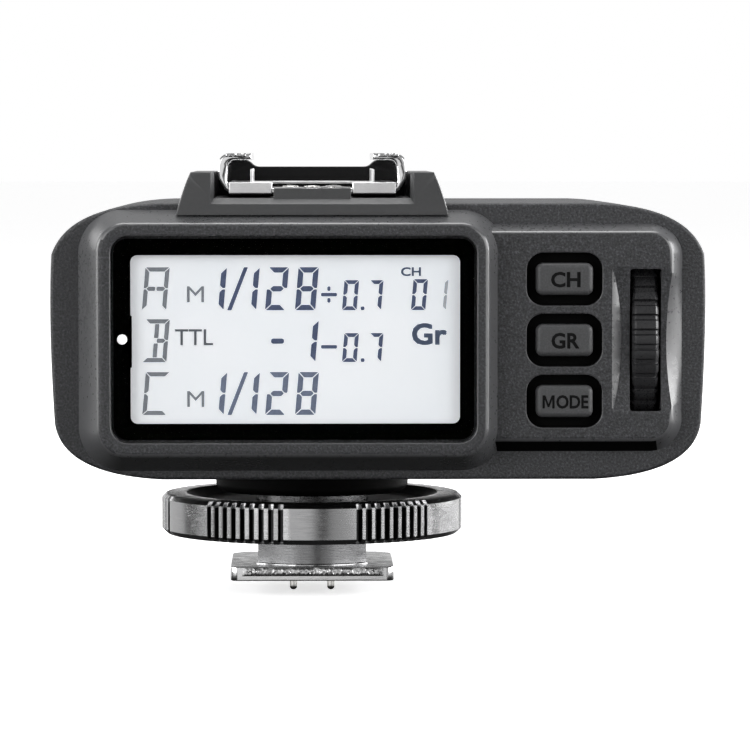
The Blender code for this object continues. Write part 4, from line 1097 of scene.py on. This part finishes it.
def contact_tray():
    """The contact block and its five pads."""
    low, top = RAIL_Z[0], RAIL_Z[0] + 0.75
    block = brick("contact_base", (-4.2, -22, low), (4.2, -9.4, top), 0.1, 0.5)
    places = ((0, -15.7), (-2.4, -19.4), (2.4, -19.4), (-2.4, -12), (2.4, -12))
    cut(block, *[hole((x, y, top), 1.15, 1) for x, y in places])
    dress(block, BLACK, "black_plastic", "contact_block")
    profile = soften([(0, 0.2), (0.9, 0.12), (0.9, -0.2), (0, -0.2)], [0, 0.12, 0.05, 0])
    for i, (x, y) in enumerate(places, 1):
        pad = lathe(f"receiver_pad_{i}", profile, (x, y, top), 32)
        dress(pad, NICKEL, "contact_gold", f"receiver_contact_{i}")


# Hidden nodes


def inner_finishes():
    """Inner CAD nodes keep their shape and take a procedural finish."""
    # The key sheet, seen at the foot of the wells, takes their near-black painted shade.
    finishes = {
        "lcd_backlight": WHITE, "key_sheet": SHADE_BLACK, "dial_axle": STEEL, "dial_encoder": BLACK,
        "main_board": BOARD, "antenna_board": BOARD, "battery_tray": BLACK, "battery_contact": STEEL,
        "door_pin": STEEL,
    }
    for name, finish in finishes.items():
        mesh = nodes[name].data
        mesh.materials.clear()
        mesh.materials.append(finish)


# Studio

TARGET = (0.007, 0, 0.028)
TENT_STRENGTH = 2.5
# (degrees from the display's side towards +X, radiance) and (sine of the height angle, radiance)
TENT_BY_ANGLE = (
    (-180, 0.4), (-150, 0.32), (-117, 0.3), (-112, 0.05), (-101, 0.04), (-96, 0.12), (-60, 0.3), (-22, 0.34),
    (-2, 0.36), (2.5, 0.24), (4, 0.02), (10, 0.012), (13, 0.2), (35, 0.28), (80, 0.24), (100, 0.18), (108, 0.1),
    (114, 0.28), (150, 0.4), (180, 0.4),
)
TENT_BY_HEIGHT = (
    (-1, 0.02), (-0.35, 0.03), (-0.22, 0.3), (-0.15, 0.9), (0.2, 1), (0.4, 0.4), (0.8, 0.4), (1, 0.5),
)
# Name, azimuth (0 is the display's side, +90 is +X), elevation, distance, size and radiance
SOFT_BOXES = (
    ("front_left", -43, 14, 0.62, (0.34, 0.4), 2.4),
    ("front_right", 48, 14, 0.62, (0.34, 0.4), 2.4),
    ("side_left", -84, 13, 0.55, (0.32, 0.28), 5),
    ("side_right", 91, 12, 0.55, (0.4, 0.28), 7),
    ("back_right", 134, 9, 0.72, (0.5, 0.32), 6),
    ("back_left", -140, 12, 0.75, (0.36, 0.3), 2),
    ("overhead", 180, 80, 0.75, (0.6, 0.5), 4.5),
)
FOCAL_PIXELS, IMAGE_PIXELS, SENSOR = 4026, 750, 36
CAMERA_X, CAMERA_DISTANCE, CAMERA_Z, CAMERA_YAW = 0.0073, 0.465, 0.04895, 1.03
HORIZON_PIXELS = 225


def soft_box(name, azimuth, elevation, distance, size, radiance):
    """An area light that faces the object."""
    turn, rise = radians(azimuth), radians(elevation)
    way = Vector((sin(turn) * cos(rise), -cos(turn) * cos(rise), sin(rise)))
    data = bpy.data.lights.new(name, "AREA")
    data.shape = "RECTANGLE"
    data.size, data.size_y = size
    data.energy = radiance * pi * size[0] * size[1]
    made = link_new(name, data)
    made.location = Vector(TARGET) + way * distance
    made.rotation_euler = (-way).to_track_quat("-Z", "Y").to_euler()
    made.visible_camera = False


def tent(graph):
    """A white tent round the object: its radiance by compass angle and by height."""
    axes = graph.add("SeparateXYZ", Vector=graph.add("TexCoord").outputs["Generated"]).outputs
    turn = graph.math("ARCTAN2", axes["X"], graph.math("MULTIPLY", axes["Y"], -1))
    share = graph.math("MULTIPLY_ADD", turn, 0.5 / pi, 0.5)
    height = graph.math("MULTIPLY_ADD", axes["Z"], 0.5, 0.5)
    around = graph.ramp(share, *[(angle / 360 + 0.5, [level] * 3) for angle, level in TENT_BY_ANGLE])
    upward = graph.ramp(height, *[(rise / 2 + 0.5, [level] * 3) for rise, level in TENT_BY_HEIGHT])
    return graph.math("MULTIPLY", around, upward, kind="VectorMath")


def studio():
    """Floor, world, soft boxes and the camera."""
    shape = bmesh.new()
    bmesh.ops.create_circle(shape, cap_ends=True, segments=96, radius=6)
    floor = new_mesh(shape, "floor")
    floor.location = (0, 0, -0.0017)
    floor.data.materials.append(floor_material())
    floor.visible_diffuse = False
    floor.visible_glossy = False
    floor.visible_transmission = False

    world = bpy.data.worlds.new("studio")
    scene.world = world
    world.use_nodes = True
    graph = Graph(world.node_tree)
    lit = graph.tree.nodes["Background"]
    graph.fill(lit.inputs["Strength"], TENT_STRENGTH)
    graph.fill(lit.inputs["Color"], tent(graph))
    seen = graph.add("Background", Color=(1, 1, 1, 1))
    mix = graph.add("MixShader", Fac=graph.add("LightPath").outputs["Is Camera Ray"])
    graph.fill(mix.inputs[1], lit.outputs[0])
    graph.fill(mix.inputs[2], seen.outputs[0])
    graph.fill(graph.tree.nodes["World Output"].inputs["Surface"], mix.outputs[0])

    for box in SOFT_BOXES:
        soft_box(*box)

    yaw, pitch = radians(CAMERA_YAW), atan(HORIZON_PIXELS / FOCAL_PIXELS)
    data = bpy.data.cameras.new("view")
    data.sensor_width = SENSOR
    data.lens = FOCAL_PIXELS / IMAGE_PIXELS * SENSOR
    data.clip_start = 0.01
    data.clip_end = 20
    camera = link_new("view", data)
    camera.location = (CAMERA_X - CAMERA_DISTANCE * tan(yaw), -CAMERA_DISTANCE, CAMERA_Z)
    camera.rotation_euler = (pi / 2 - pitch, 0, -yaw)
    bpy.context.scene.camera = camera
    scene.view_settings.view_transform = "Standard"


rear_cover()
marker_dot()
window()
display()
key_caps()
dial()
front_housing()
small_controls()
ports()
battery_door()
lock_ring()
pedestal()
camera_foot()
bracket()
rails()
rail_leaf()
contact_tray()
case_screws()
inner_finishes()
studio()
